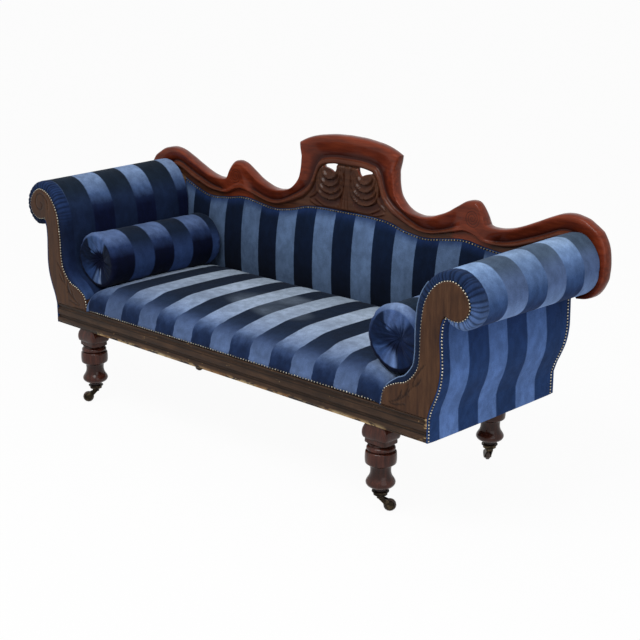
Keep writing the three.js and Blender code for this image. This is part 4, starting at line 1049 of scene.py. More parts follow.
def crest_column(edge, groove, low):
    """Ring round the crest at one place: points, how much painted shade each gets in the crest's recesses,
    and how carved each is
    """
    ring, recess_shade, carved = [], [], []

    def put(p, back, dark, dull):
        ring.append(raked(p.x, p.y, back))
        recess_shade.append(dark)
        carved.append(dull)

    fade = line_at(FADE, groove.x / CREST_HALF)
    shown = step(0.3, 0.9, fade)
    put(edge, CREST_FRONT + CREST_RIM, 0, 0)
    for i in range(MOULD_WAYS + 1):
        way = i / MOULD_WAYS
        way = way * way * 0.35 + way * 0.65
        deep = 1 + (fade - 1) * step(0.12, 0.3, way)
        # dark: painted shade down the cove and in the groove
        dark = 0.22 * step(0.15, 0.5, way) + (0.66 * step(0.6, 0.93, way) + 0.12 * step(0.9, 1, way)) * shown
        put(edge.lerp(groove, way), CREST_FRONT + at(MOULD, way) * GROOVE_DEPTH * deep, dark, 0)
    reach = (low - groove).length
    for i in range(1, FIELD_WAYS + 1):
        u = i / FIELD_WAYS
        near = min(34, reach * 0.6)
        mm = near * (u / 0.36) if u < 0.36 else near + (reach - near) * (u - 0.36) / 0.64
        p = groove.lerp(low, mm / max(reach, 1e-6))
        depth, inside = field_depth(fade, mm, reach, p.x, p.y)
        k = min(1, reach / 60)
        # dark: painted shade just under the groove and on the carving's sunk ground
        ground = 0.8 * step(9, 16, depth) * inside * step(60, 110, reach)
        dark = step(8 * k, 5 * k, mm) * shown + ground
        dull = 0.75 * step(3 * k, 10 * k, mm) + 0.25 * step(20 * k, 30 * k, mm)
        put(p, CREST_FRONT + depth, min(dark, 1), dull * (0.3 + 0.7 * shown))
    put(low, CREST_BACK, 0, 1)
    put(groove, CREST_BACK, 0, 0)
    for way, back in RIM:
        put(edge.lerp(groove, way), back, 0, 0)
    return ring, recess_shade, carved


def crest_run(edge_shares, groove_shares, lower_at, steps):
    """Columns of the crest between an edge and a groove given by shares"""
    edge = spline([crest_point(s) for s in edge_shares], steps)
    groove = spline([crest_point(s) for s in groove_shares], steps)
    return [crest_column(e, g, lower_at(i / steps)) for i, (e, g) in enumerate(zip(edge, groove))]


def lower_between(start, end):
    """Points of the lower edge between two shares of the crest's half length"""
    def place(way):
        x = (start + (end - start) * way) * CREST_HALF
        return Vector((x, lower_edge(x)))
    return place


def mirrored_column(column):
    ring, recess_shade, carved = column
    return flip(ring), recess_shade, carved


def crest_piece(name, columns, stands_for):
    points, faces = loft([c[0] for c in columns])
    values = {"recess_shade": [v for c in columns for v in c[1]], "carved": [v for c in columns for v in c[2]]}
    return make(name, (points, faces), MAHOGANY, stands_for, sharp=50, values=values)


arch = crest_run(ARCH, GROOVE_ARCH, lower_between(0, ARCH_END_SHARE), 50)
side_run = crest_run(SIDE, GROOVE_SIDE, lower_between(ARCH_END_SHARE, SIDE_END_SHARE), 150)
half = arch[1:] + side_run[1:]
whole = [mirrored_column(c) for c in half[::-1]] + [arch[0]] + half
centre = crest_piece("crest_cartouche", whole, ["crest_centre"])


def pierce(piece, sign):
    """Cut one of the two openings, wider towards the back"""
    outline = spline([crest_point(s) for s in PIERCED], 40, closed=True)
    wide = drawn_in(outline, 30)
    if (wide[0] - outline[20]).length < (outline[0] - outline[20]).length:
        wide = drawn_in(outline, -30)
    places = ((outline, -80), (outline, -22), (wide, 10), (wide, 40))
    rings = [[raked(sign * p.x, p.y, behind) for p in line] for line, behind in places]
    cutter = make("cutter", loft(rings), MAHOGANY)
    cut = piece.modifiers.new("hole", "BOOLEAN")
    cut.object = cutter
    cut.operation = "DIFFERENCE"
    cut.solver = "EXACT"
    bake(piece)
    bpy.data.objects.remove(cutter)


def bake(piece):
    """Replace a piece's mesh by the result of its modifiers"""
    graph = bpy.context.evaluated_depsgraph_get()
    whole = piece.evaluated_get(graph)
    done = bpy.data.meshes.new_from_object(whole, preserve_all_data_layers=True, depsgraph=graph)
    piece.modifiers.clear()
    piece.data = done


pierce(centre, 1)
pierce(centre, -1)
smooth_edges(centre.data, 50)


def wing_lower(way):
    """The wing's lower edge, then its line to the inner corner of the drop"""
    lower = lower_between(SIDE_END_SHARE, LOWER[-1][0])
    if way < WING_TURN_SHARE:
        return lower(way / WING_TURN_SHARE)
    corner = Vector((EAR_INNER, RAIL_TOP + EAR[0][1] * CREST_HEIGHT))
    return lower(1).lerp(corner, (way - WING_TURN_SHARE) / (1 - WING_TURN_SHARE))


def drop_columns():
    """Columns of the crest's end, which drops over the arm"""
    outer = spline([crest_point(s) for s in EAR], DROP_STEPS)
    top, bottom = outer[0].y - FIT, outer[-1].y
    out = []
    for i, p in enumerate(outer):
        edge = Vector((p.x, min(p.y, top)))
        inner = Vector((EAR_INNER, top + (bottom - top) * i / DROP_STEPS))
        out.append(crest_column(edge, edge.lerp(inner, 0.52), inner))
    return out


wing = crest_run(WING, GROOVE_WING, wing_lower, 120)
wing[0] = ([Vector((p.x + FIT, p.y, p.z)) for p in wing[0][0]],) + wing[0][1:]
drop = drop_columns()
for side, name in ((1, "right"), (-1, "left")):
    for part, columns in (("wing", wing), ("drop", drop)):
        shown = columns if side > 0 else [mirrored_column(c) for c in columns]
        crest_piece(name + "_" + part + "_moulding", shown, [name + "_crest_" + part])

# Back

BACK_HALF = RAIL_HALF - 27.3
BACK_REAR = 22.3
BACK_THICKNESS = 36
BACK_FACE_BOTTOM = 428.9
BACK_CROWN = 9
BACK_COLUMNS = 240
BACK_ROWS = 40


def back_pad():
    """Inside back: crowned, and puckered under its row of nails"""
    columns = []
    for i in range(BACK_COLUMNS + 1):
        x = (2 * i / BACK_COLUMNS - 1) * BACK_HALF
        top = lower_edge(x) - 1.2
        pucker = 0.9 * math.sin(x * 0.21 + math.sin(x * 0.05) * 2) * math.sin(x * 0.063 + 1)
        sideways = 1 - abs(x / BACK_HALF) ** 8
        ring = [raked(x, ARM_BASE, -BACK_REAR), raked(x, ARM_BASE, -BACK_THICKNESS)]
        for k in range(BACK_ROWS + 1):
            way = k / BACK_ROWS
            z = BACK_FACE_BOTTOM + (top - BACK_FACE_BOTTOM) * way
            crown = BACK_CROWN * sideways * math.sin(math.pi * way) ** 0.7 if 0 < way < 1 else 0
            edge = BACK_THICKNESS - 8 * way**6
            fold = pucker * step(0.72, 0.93, way) * step(1, 0.97, way) * 1.6
            ring.append(raked(x, z, -edge - crown - fold))
        ring.append(raked(x, top, -BACK_REAR))
        columns.append(ring)
    return loft(columns)


def painted_back_shade(look, cloth):
    """Painted light on the back: lighter in the middle and darker towards the arms as painted shade, and
    painted shade on both stripes where the cover turns in under its nails
    """
    middle = look.spread(look.math("ABSOLUTE", look.x), 0.05, 0.6, 1.15, 0.82)
    cloth = look.mix(1.0, cloth, middle, "MULTIPLY")
    return look.mix(look.value("turned") * 0.8, cloth, rgb(24, 42, 80))


# Tones of the back by height in metres: darker towards the seat and lighter towards the top, painted shade
# and light
BACK_PALE = tone_list((0.42, 72, 90, 116), (0.56, 80, 101, 132), (0.75, 82, 104, 140))
BACK_DARK = tone_list((0.42, 5, 10, 22), (0.56, 9, 20, 40), (0.75, 13, 28, 52))
BACK_VELVET = velvet("back_velvet", stripes_along_x(0.002, 0.0912), BACK_PALE, BACK_DARK, up, painted_back_shade)
# turned: how much painted shade the back's top gets, where the cover turns in under the crest
turned = [0, 0] + [step(0.86, 0.985, k / BACK_ROWS) for k in range(BACK_ROWS + 1)] + [1]
back = make(
    "inside_back_cover", back_pad(), BACK_VELVET, ["back_pad"], sharp=60,
    values={"turned": turned * (BACK_COLUMNS + 1)},
)

# Seat


# The crown's height over the seat's edge, at distances from the front rail's face
SEAT_CROWN = [
    (58, 0), (80, 6), (110, 10), (150, 12.5), (200, 14), (280, 15.5), (370, 15.5), (440, 14), (490, 10),
    (525, 3), (548, -5), (562, -14),
]
SEAT_RISE = 84
SEAT_SIDE_DROP = 40
SEAT_SIDE_ROUNDING = 70
SEAT_ROUNDING = 55
SEAT_FRONT = 9
SEAT_BULGE = 6
SEAT_WELL_FRONT = 50.3
SEAT_WELL_REAR = 554.7
SEAT_WELL_BOTTOM = RAIL_BOTTOM + 30.3
SEAT_REAR = FRAME_DEPTH - 38
SEAT_SIDE_SHARES = (0, 0.02, 0.06, 0.12, 0.2, 0.3, 0.42, 0.55, 0.7, 0.85)
SEAT_COLUMNS = 160
SEAT_ROWS = 60


def seat_ring(x):
    """Section of the seat from front to rear"""
    rounding = 1 - min((SEAT_HALF - abs(x)) / SEAT_SIDE_ROUNDING, 1)
    top = RAIL_TOP + SEAT_RISE - SEAT_SIDE_DROP * (1 - math.sqrt(1 - rounding**2))
    across = x / SEAT_HALF
    radius = min(SEAT_ROUNDING, top - ARM_BASE - FIT)
    face = SEAT_FRONT - SEAT_BULGE
    pucker = 0.8 * math.sin(x * 0.17 + math.sin(x * 0.041) * 2.2)
    points = [
        (SEAT_WELL_REAR, SEAT_WELL_BOTTOM), (SEAT_WELL_FRONT, SEAT_WELL_BOTTOM),
        (SEAT_WELL_FRONT, ARM_BASE), (SEAT_FRONT, ARM_BASE),
    ]
    half_way = (ARM_BASE + top - radius) / 2
    for t in (0.2, 0.45, 0.7, 1):
        y = SEAT_FRONT - SEAT_BULGE * math.sin(math.pi / 2 * t) - pucker * math.sin(math.pi * t)
        points.append((y, ARM_BASE + (half_way - ARM_BASE) * t))
    for i in range(14):
        a = math.pi / 2 * i / 13
        points.append((face + radius * (1 - math.cos(a)), top - radius * (1 - math.sin(a))))
    start = face + radius
    for i in range(1, SEAT_ROWS + 1):
        y = start + (SEAT_REAR - start) * i / SEAT_ROWS
        points.append((y, top + at(SEAT_CROWN, y) * (1 - abs(across) ** 4)))
    points += [(SEAT_REAR, (ARM_BASE + top) / 2), (SEAT_REAR, ARM_BASE), (SEAT_WELL_REAR, ARM_BASE)]
    return [Vector((x, y, z)) for y, z in points]


seat_places = [-SEAT_HALF + SEAT_SIDE_ROUNDING * w for w in SEAT_SIDE_SHARES]
seat_inner = SEAT_HALF - SEAT_SIDE_ROUNDING
seat_places += [-seat_inner + 2 * seat_inner * i / SEAT_COLUMNS for i in range(SEAT_COLUMNS + 1)]
seat_places += [-x for x in seat_places[:len(SEAT_SIDE_SHARES)]][::-1]
# Rubbed places, which also get a painted sheen: middle across and back, and half sizes
RUBBED_AND_SHEEN = [(-95, 262, 110, 70), (60, 225, 120, 60), (-10, 330, 130, 60)]


def seat_wear_and_sheen(look, cloth):
    """The middle of the seat, where the pile is rubbed pale and a pale sheen is painted; the seat's left part
    is painted darker as shade
    """
    front = from_front(look)
    worn = 0.0
    for x, y, wide, deep in RUBBED_AND_SHEEN:
        dx = (look.x - x / 1000) * (1000 / wide)
        dy = (front - y / 1000) * (1000 / deep)
        away = dx * dx + dy * dy
        worn = look.math("MAXIMUM", worn, look.spread(away, 0.0, 1.6, 1, 0))
    worn = worn * look.spread(look.noise(6, 1, start=3), 0.3, 0.7, 0.1, 0.24)
    # left: painted shade, darker towards the left of the seat
    left = look.spread(look.x, -0.55, -0.1, 0.86, 1.0)
    cloth = look.mix(1.0, cloth, left, "MULTIPLY")
    return look.mix(worn, cloth, rgb(160, 178, 200))


# Tones of the seat by distance behind the rail in metres: the change from the front's bull-nose to the top is
# painted light and shade of the pile
SEAT_FIRST = tone_list(
    (0, 18, 31, 58), (0.011, 26, 42, 74), (0.024, 50, 68, 104), (0.045, 86, 106, 142), (0.08, 116, 135, 168),
    (0.14, 138, 156, 184), (0.3, 156, 172, 194), (0.56, 146, 160, 174),
)
SEAT_SECOND = tone_list(
    (0, 84, 104, 142), (0.012, 80, 100, 138), (0.03, 66, 84, 120), (0.052, 46, 62, 94), (0.085, 28, 42, 66),
    (0.14, 17, 29, 48), (0.3, 13, 25, 42), (0.56, 11, 21, 36),
)
SEAT_STRIPES = stripes_along_x(0.0065, 0.0908)
SEAT_VELVET = velvet("seat_velvet", SEAT_STRIPES, SEAT_FIRST, SEAT_SECOND, from_front, seat_wear_and_sheen)
seat_shape = loft([seat_ring(x) for x in seat_places])
seat = make("seat_cushion", seat_shape, SEAT_VELVET, ["seat_pad"], sharp=50)

LAST_FRAME = 20


def swell(piece, pressure, reach, held=None, slack=0.0):
    """Blow a cover up as cloth, move no point further than reach, and keep the shape"""
    scene = bpy.context.scene
    start = [v.co.copy() for v in piece.data.vertices]
    cloth = piece.modifiers.new("cloth", "CLOTH")
    cloth.settings.use_pressure = True
    cloth.settings.uniform_pressure_force = pressure
    cloth.settings.effector_weights.gravity = 0
    cloth.settings.shrink_min = -slack
    cloth.settings.quality = 6
    cloth.settings.mass = 0.3
    cloth.settings.bending_stiffness = 0.3
    cloth.point_cache.frame_start = 1
    cloth.point_cache.frame_end = LAST_FRAME
    if held:
        group = piece.vertex_groups.new(name="held")
        for vertex in piece.data.vertices:
            share = held(vertex.co)
            if share > 0:
                group.add([vertex.index], share, "REPLACE")
        cloth.settings.vertex_group_mass = "held"
    for number in range(1, LAST_FRAME + 1):
        scene.frame_set(number)
    done = piece.evaluated_get(bpy.context.evaluated_depsgraph_get()).to_mesh()
    swollen = [v.co.copy() for v in done.vertices]
    piece.modifiers.remove(cloth)
    scene.frame_set(1)
    for vertex, a, b in zip(piece.data.vertices, start, swollen):
        way = b - a
        limit = reach(a) if callable(reach) else reach
        vertex.co = a + way * min(1, limit / max(way.length, 1e-9))
    smooth = piece.modifiers.new("smooth", "SUBSURF")
    smooth.levels = smooth.render_levels = 1
    bake(piece)
    smooth_edges(piece.data, 60)


def seat_held(p):
    """The seat is held at its nails, its sides and its back"""
    x, y, z = p.x * 1000, p.y * 1000 + SHIFT, p.z * 1000
    nails = step(ARM_BASE + 26, ARM_BASE + 8, z)
    return max(nails, step(SEAT_HALF - 24, SEAT_HALF - 6, abs(x)), step(540, 556, y))


swell(seat, 4, 0.007, seat_held, 0.015)

# Bolsters

BOLSTER_LENGTH = 500
BOLSTER_RADIUS = 101
BOLSTER_BARREL = 100.6
BOLSTER_DIMPLE = 24
BOLSTER_COLUMNS = 96
BOLSTER_ROWS = 60
# Shares of the dimple's depth and of the radius, from the middle of an end outward
BOLSTER_END = [
    (1, 0.1), (0.9, 0.14), (0.72, 0.24), (0.5, 0.38), (0.28, 0.55), (0.1, 0.72), (0.0, 0.84), (0.03, 0.92),
    (0.12, 0.97), (0.3, 0.995), (0.6, 1.0),
]
# How often each wave of the gathered folds goes round
FOLD_COUNTS = (13, 17, 22, 9, 27, 31)


def bolster_rings():
    rng = random.Random(5)
    phases = [rng.uniform(0, 6.28) for _ in FOLD_COUNTS]

    def ring(y, radius, strength, twist, sign):
        out = []
        for i in range(BOLSTER_COLUMNS):
            a = 2 * math.pi * i / BOLSTER_COLUMNS
            w = sum(math.sin(n * (a + twist) + f) for n, f in zip(FOLD_COUNTS, phases)) / 2.6 * strength
            wide = radius * (1 + 0.012 * w)
            out.append(Vector((wide * math.cos(a), y + sign * w * 1.6, wide * math.sin(a))))
        return out

    def gathered_ring(p, y, sign):
        share = p.y / BOLSTER_RADIUS
        strength = 1.5 * math.sin(math.pi * min(share * 1.05, 1)) + 0.2
        return ring(y, p.y, strength, (1 - share) * 0.3, sign)

    profile = spline([(w * BOLSTER_DIMPLE, r * BOLSTER_RADIUS) for w, r in BOLSTER_END], 34)
    rings = [gathered_ring(p, p.x, -1) for p in profile]
    for k in range(1, BOLSTER_ROWS):
        y = BOLSTER_DIMPLE + (BOLSTER_LENGTH - 2 * BOLSTER_DIMPLE) * k / BOLSTER_ROWS
        rings.append(ring(y, BOLSTER_BARREL + 0.4 * math.sin(k * 0.85), 0.05, 0, 0))
    return rings + [gathered_ring(p, BOLSTER_LENGTH - p.x, 1) for p in profile[::-1]]


# A bolster starts this much short of its solid's ends, which its gathered ends then swell to
BOLSTER_FRONT_INSET = 11
BOLSTER_REAR_INSET = 10


def add_bolster(name, edges, first, second, petals, sag):
    low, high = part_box(name + "_bolster")
    middle = (low + high) / 2
    start = low.y * 1000 + SHIFT
    points, faces = loft(bolster_rings())
    short = 1 - (BOLSTER_FRONT_INSET + BOLSTER_REAR_INSET) / BOLSTER_LENGTH
    points = [
        Vector((
            p.x + middle.x * 1000,
            start + BOLSTER_FRONT_INSET + p.y * short,
            (p.z + BOLSTER_RADIUS) * sag + low.z * 1000,
        ))
        for p in points
    ]
    bands = bands_along_y(edges, False)
    cloth = velvet(name + "_bolster_velvet", bands, first, second, up, gathered(name, petals))
    node = name + "_bolster"
    piece = make(node + "_cushion", (points, faces), cloth, [node], body=node, sharp=70)
    centre = Vector((middle.x, middle.y, low.z + BOLSTER_RADIUS / 1000 * sag))

    def reach(p):
        """Only the gathered ends move far; below, the bolster rests on the seat"""
        end = step(0.2, 0.245, abs(p.y - centre.y))
        below = step(0, 0.09, centre.z - p.z)
        return (0.0012 + 0.009 * end) * (1 - 0.85 * below)

    swell(piece, 4, reach, None, 0.03)


# Tones of the bolsters by height in metres: how they change round the roll is painted light and shade of the
# pile
LEFT_ROLL_FIRST = tone_list(
    (0.43, 4, 9, 31), (0.54, 6, 12, 36), (0.575, 36, 52, 88), (0.605, 80, 100, 140),
)
LEFT_ROLL_SECOND = tone_list(
    (0.43, 52, 74, 122), (0.5, 48, 70, 116), (0.545, 36, 53, 90), (0.585, 18, 30, 50), (0.63, 14, 25, 40),
)
RIGHT_ROLL_FIRST = tone_list(
    (0.43, 5, 10, 28), (0.5, 12, 20, 44), (0.54, 26, 40, 72), (0.575, 46, 64, 102), (0.6, 74, 94, 134),
    (0.625, 108, 128, 164),
)
RIGHT_ROLL_SECOND = tone_list((0.43, 4, 8, 18), (0.54, 5, 11, 24), (0.6, 9, 19, 34), (0.625, 20, 34, 50))
# Tones of the bolsters' ends by their angle in degrees
RIGHT_PETALS = tone_list(
    (0, 15, 28, 56), (40, 18, 32, 62), (48, 48, 68, 108), (60, 62, 84, 128), (90, 72, 94, 140),
    (113, 66, 88, 132), (121, 16, 29, 54), (165, 14, 26, 52), (198, 24, 42, 76), (207, 50, 72, 114),
    (225, 42, 63, 104), (245, 70, 92, 136), (268, 96, 120, 166), (275, 18, 32, 62), (360, 15, 28, 56),
)
LEFT_PETALS = tone_list(
    (0, 10, 19, 37), (46, 10, 19, 37), (54, 62, 84, 128), (75, 68, 91, 136), (95, 56, 78, 118),
    (118, 50, 72, 110), (124, 11, 21, 40), (165, 13, 23, 44), (200, 22, 38, 70), (212, 32, 53, 92),
    (238, 38, 60, 102), (247, 16, 28, 54), (256, 88, 112, 154), (265, 54, 76, 118), (275, 122, 144, 182),
    (283, 16, 27, 52), (300, 11, 20, 40), (360, 10, 19, 37),
)
add_bolster("left", [150, 238, 327, 415, 510], LEFT_ROLL_FIRST, LEFT_ROLL_SECOND, LEFT_PETALS, 0.95)
add_bolster("right", [84, 172, 260, 350, 440], RIGHT_ROLL_FIRST, RIGHT_ROLL_SECOND, RIGHT_PETALS, 1)

# Front rail and the outside back

RAIL_FACE = [
    (0.5, 0), (0.45, 0.06), (0.1, 0.1), (0, 0.16), (0.1, 0.23), (0.5, 0.27), (0.95, 0.33), (0.9, 0.4),
    (0.4, 0.44), (0.4, 0.68), (0.6, 0.74), (1, 0.79), (0.9, 0.86), (0.45, 0.9), (0.3, 0.94), (0.35, 0.98),
    (0.6, 1),
]
RAIL_RELIEF = 9
RAIL_THICKNESS = 50
# Shares of the rail's height where painted shade lies in its moulding's quirks
RAIL_QUIRKS = (0.06, 0.3, 0.43, 0.72, 0.93)


def front_rail():
    """The moulded rail, and how much painted shade lies in its quirks"""
    height = RAIL_TOP - RAIL_BOTTOM
    face = spline([(h * RAIL_RELIEF, RAIL_BOTTOM + up * height) for h, up in RAIL_FACE], 70)
    section = [(RAIL_THICKNESS, RAIL_BOTTOM)] + [(p.x, p.y) for p in face] + [(RAIL_THICKNESS, RAIL_TOP)]
    places = [-RAIL_HALF + 2 * RAIL_HALF * i / 120 for i in range(121)]
    shares = [0] + [(p.y - RAIL_BOTTOM) / height for p in face] + [1]
    recess_shade = [max(step(0.035, 0, abs(up - quirk)) for quirk in RAIL_QUIRKS) for up in shares]
    return loft([[Vector((x, y, z)) for y, z in section] for x in places]), recess_shade * len(places)


shape, recess_shade = front_rail()
make(
    "front_rail_moulding", shape, RAIL_WOOD, ["front_rail"], sharp=45,
    values={"recess_shade": recess_shade},
)


def dress(node, material):
    """Give a solid of the frame a material"""
    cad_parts[node].data.materials[0] = material


dress("back_rail", BEECH)
dress("seat_webbing", JUTE)
dress("back_stay", BEECH)
for side in ("left", "right"):
    for part in (
        "side_rail", "cross_rail", "front_corner_block", "rear_corner_block", "front_arm_post",
        "rear_arm_post", "arm_top_rail", "arm_lower_rail", "back_tacking_rail",
    ):
        dress(side + "_" + part, BEECH)
dress("outside_back_panel", BACK_VELVET)


CORNER_COVER = [(854, 746), (874, 746.5), (913.5, 689.5), (913.5, 648)]


def add_corner_cover(side, name):
    """The outside back's cover where it runs out between the crest's end and the side"""
    outline = CORNER_COVER + [(p.x, p.y) for p in facing_outer if 588 < p.y < 647] + [(892, 588)]
    rings = [on_side(side, [raked(x, z, behind) for x, z in outline]) for behind in (FIT, 4.7)]
    make(name + "_rear_corner_cover", loft(rings), BACK_VELVET, sharp=40)


add_corner_cover(1, "right")
add_corner_cover(-1, "left")

# Legs

LEG_TURNING = [
    (0.01, 0.42), (0.03, 0.62), (0.065, 0.83), (0.12, 0.945), (0.17, 0.94), (0.225, 0.85), (0.28, 0.745),
    (0.36, 0.675), (0.46, 0.675), (0.535, 0.75), (0.545, 0.86), (0.585, 1), (0.82, 1), (0.845, 0.92),
    (0.85, 0.86), (0.885, 0.93), (0.93, 0.91), (0.955, 0.82), (0.965, 0.765),
]
LEG_BLOCK = [
    (0, 0.76), (0.04, 0.84), (0.25, 0.85), (0.29, 0.94), (0.45, 1), (0.68, 0.98), (0.87, 0.89), (1, 0.8),
]
FOOT_RADIUS = 18
FOOT_HEIGHT = 20
TURNING_HEIGHT = 140
TURNING_RADIUS = 46
BLOCK_BOTTOM = 160
BLOCK_HEIGHT = 61
BLOCK_HALF_WIDTH = 48
BLOCK_HALF_DEPTH = 38
BLOCK_STEPS = 28
LEG_SIDES = 64
# Heights over the foot where painted shade lies between the rings
LEG_QUIRKS = (75.5, 119, 136)


def leg_ring(x, y, half_x, half_y, z, square):
    """A round (2) or squarer (8) section"""
    out = []
    for i in range(LEG_SIDES):
        a = 2 * math.pi * i / LEG_SIDES
        c, s = math.cos(a), math.sin(a)
        out.append(Vector((
            x + half_x * math.copysign(abs(c) ** (2 / square), c),
            y + half_y * math.copysign(abs(s) ** (2 / square), s), z,
        )))
    return out


def add_leg(name):
    low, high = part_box(name + "_leg")
    x, y = (low.x + high.x) * 500, (low.y + high.y) * 500 + SHIFT
    z = low.z * 1000
    rings = [leg_ring(x, y, FOOT_RADIUS, FOOT_RADIUS, z + up, 2) for up in (0, FOOT_HEIGHT)]
    # dark: painted shade at the foot, where the turning is narrow, in its quirks and under the block
    dark = [0.3, 0.9]
    line = [(up * TURNING_HEIGHT, wide * TURNING_RADIUS) for up, wide in LEG_TURNING]
    dense = []
    for (low_end, _), (high_end, _) in zip(line, line[1:]):
        dense += [low_end + (high_end - low_end) * k / 4 for k in range(4)]
    dense.append(line[-1][0])
    for up in dense:
        wide = at(line, up)
        rings.append(leg_ring(x, y, wide, wide, z + FOOT_HEIGHT + up, 2))
        near = min(abs(up - quirk) for quirk in LEG_QUIRKS)
        dark.append(step(41, 33, wide) * 0.35 + 0.5 * step(2.5, 0, near))
    for k in range(BLOCK_STEPS + 1):
        way = k / BLOCK_STEPS
        wide = at(LEG_BLOCK, way)
        half_x, half_y = wide * BLOCK_HALF_WIDTH, wide * BLOCK_HALF_DEPTH
        rings.append(leg_ring(x, y, half_x, half_y, z + BLOCK_BOTTOM + way * BLOCK_HEIGHT, 8))
        dark.append(0.6 * step(0.05, 0, way) + 0.4 * step(0.03, 0, abs(way - 0.27)))
    make(
        name + "_turned_leg", loft(rings), LEG_WOOD, [name + "_leg"], sharp=40,
        values={"recess_shade": [d for d in dark for _ in range(LEG_SIDES)]},
    )


for name in ("left_front", "right_front", "left_rear", "right_rear"):
    add_leg(name)
    for part, material in (("cup", BRONZE), ("horn", BRONZE), ("axle", BRONZE), ("wheel", WHEEL)):
        node = name + "_castor_" + part
        dress(node, material)
        smooth_edges(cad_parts[node].data, 40)

# Nails

PITCH = 11.9
CLOSE_PITCH = 9.6
NAIL_RADIUS = 2.9
NAIL_HEIGHT = 2.2
TAPE_RADIUS = 1.6
WELT_RADIUS = 1.8
BACK_NAILS_END = 876
SIDE_NAILS_FRONT = 8
SIDE_NAILS_REAR = -19


def along(path, pitch=PITCH):
    """Places one pitch apart along a line of points"""
    length = sum((q - p).length for p, q in zip(path, path[1:]))
    return evenly(path, max(round(length / pitch), 1))


def outward(path, p):
    """Direction out of a sofa side at a point near a path round it"""
    k = min(range(len(path)), key=lambda i: (path[i] - p).length)
    a, b = path[max(k - 1, 0)], path[min(k + 1, len(path) - 1)]
    return Vector((a.z - b.z, 0, b.x - a.x)).normalized()


def nail_rows():
    """Rows of nails and the tape that lies under each: points and their directions"""
    rows = {}
    front = Vector((0, -1, 0))
    path = [Vector((x, 6.2, RAIL_TOP + 5.5)) for x in (-688, 688)]
    rows["seat"] = (path, [(p, front) for p in along(path)])
    lean = Vector((0, -1, RAKE))
    half = [raked(p.x, p.y - 5.5, -29.5) for p in lower_line if p.x < BACK_NAILS_END]
    both = flip(half[::-1]) + half[1:]
    rows["back"] = (both, [(p, lean) for p in along(both)])
    for side, name in ((1, "right"), (-1, "left")):
        inner = [in_front(p, 6.6) for p in facing_inner[6:-2]]
        spots = [(p + outward(inner, p) * 0.6, outward(inner, p)) for p in along(inner, CLOSE_PITCH)]
        rows[name + "_facing"] = (inner, spots)
        foot = [Vector((RAIL_HALF, RAIL_TOP)), Vector((RAIL_HALF, RAIL_BOTTOM + 6))]
        for part, first, raise_by in (("_front", 1, 4.4), ("_rear", 5, 6.6)):
            line = evenly(facing_outer[first:] + foot, 110)
            edge = [
                in_front(p, SIDE_NAILS_FRONT if part == "_front" else raked(p.x, p.y, SIDE_NAILS_REAR).y)
                for p in line
            ]
            raised = [p + outward(edge, p) * raise_by for p in edge]
            spots = [(p, outward(edge, p)) for p in along(raised, CLOSE_PITCH)]
            rows[name + "_side" + part] = (raised, spots)
        if side < 0:
            for key in ("_facing", "_side_front", "_side_rear"):
                tape, spots = rows[name + key]
                rows[name + key] = (flip(tape), [flip(spot) for spot in spots])
    return rows


TAPE_TONES = tone_list((0.3, 14, 19, 32), (0.7, 16, 22, 36))
TAPE = velvet("nail_tape", stripes_along_x(0, 4), BACK_DARK, TAPE_TONES, up)
# A welt between the back's cover and the crest
welt = [raked(p.x, p.y - 0.6, -25) for p in lower_line if p.x < BACK_NAILS_END]
make("back_welt", tube(flip(welt[::-1]) + welt[1:], WELT_RADIUS, 6), TAPE, sharp=80)
for name, (tape, spots) in nail_rows().items():
    brass = OLD_NAIL if name == "back" else NAIL
    make(name + "_nails", domes(spots, NAIL_RADIUS, NAIL_HEIGHT), brass, sharp=80)
    make(name + "_tape", tube(tape, TAPE_RADIUS, 6), TAPE, sharp=80)

# Floor, light and camera


WHITE = (1, 1, 1, 1)
CAMERA_PLACE = (3.0982, -3.03898, 1.6485)
CAMERA_PITCH = 73.8
CAMERA_TURN = 44.2
CAMERA_LENS = 76.67


def seen(tree):
    """1 for what the camera, a reflection or glass looks at, by nodes of a tree"""
    rays = tree.nodes.new("ShaderNodeLightPath")
    out = rays.outputs["Is Camera Ray"]
    for kind in ("Is Glossy Ray", "Is Transmission Ray"):
        larger = tree.nodes.new("ShaderNodeMath")
        larger.operation = "MAXIMUM"
        tree.links.new(out, larger.inputs[0])
        tree.links.new(rays.outputs[kind], larger.inputs[1])
        out = larger.outputs[0]
    return out


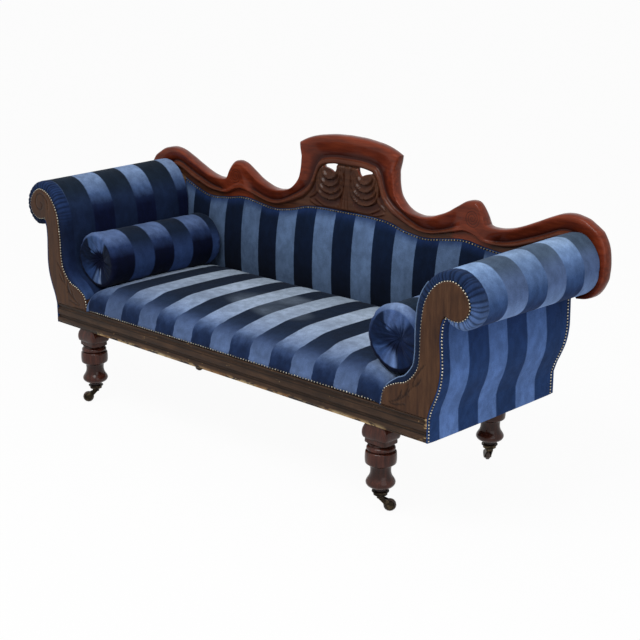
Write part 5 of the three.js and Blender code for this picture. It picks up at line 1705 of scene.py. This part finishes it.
def add_floor():
    bpy.ops.mesh.primitive_plane_add(size=300, location=(0, 0, -0.0005))
    floor = bpy.context.object
    floor.name = "floor"
    look = Look("floor_pale", Roughness=0.9, Specular_IOR_Level=0.1)
    tone = look.noise(3, 2)
    look.colour(look.ramp(tone, [(0.3, (0.78, 0.78, 0.78, 1)), (0.7, (0.82, 0.82, 0.82, 1))]))
    tree = look.tree
    glow = tree.nodes.new("ShaderNodeEmission")
    glow.inputs["Color"].default_value = WHITE
    white = tree.nodes.new("ShaderNodeMixShader")
    look.put(white.inputs[0], look.math("MULTIPLY", seen(tree), 0.95))
    look.put(white.inputs[1], look.shader.outputs[0])
    look.put(white.inputs[2], glow.outputs[0])
    look.put(tree.nodes["Material Output"].inputs[0], white.outputs[0])
    floor.data.materials.append(look.material)


def add_world():
    world = bpy.data.worlds.new("studio")
    bpy.context.scene.world = world
    world.use_nodes = True
    tree = world.node_tree
    back = tree.nodes["Background"]
    back.inputs["Color"].default_value = WHITE
    power = tree.nodes.new("ShaderNodeMapRange")
    tree.links.new(seen(tree), power.inputs[0])
    power.inputs[3].default_value = 0.5
    power.inputs[4].default_value = 1.0
    tree.links.new(power.outputs[0], back.inputs["Strength"])


def add_lamp(name, place, aim, size, power):
    lamp = bpy.data.lights.new(name, "AREA")
    lamp.energy = power
    lamp.size = size
    holder = bpy.data.objects.new(name, lamp)
    bpy.context.scene.collection.objects.link(holder)
    holder.location = place
    holder.rotation_euler = (Vector(aim) - Vector(place)).to_track_quat("-Z", "Y").to_euler()


def add_camera():
    camera = bpy.data.cameras.new("camera")
    camera.sensor_width = 36
    camera.lens = CAMERA_LENS
    camera.clip_end = 100
    holder = bpy.data.objects.new("camera", camera)
    bpy.context.scene.collection.objects.link(holder)
    holder.location = CAMERA_PLACE
    holder.rotation_euler = (math.radians(CAMERA_PITCH), 0, math.radians(CAMERA_TURN))
    bpy.context.scene.camera = holder


add_floor()
add_world()
add_lamp("key", (0.6, -1.9, 3.4), (0, 0, 0.4), 1.8, 75)
add_lamp("fill", (3.4, -1.2, 1.8), (0.2, 0, 0.4), 2.2, 18)
add_camera()
bpy.context.scene.view_settings.view_transform = "Standard"
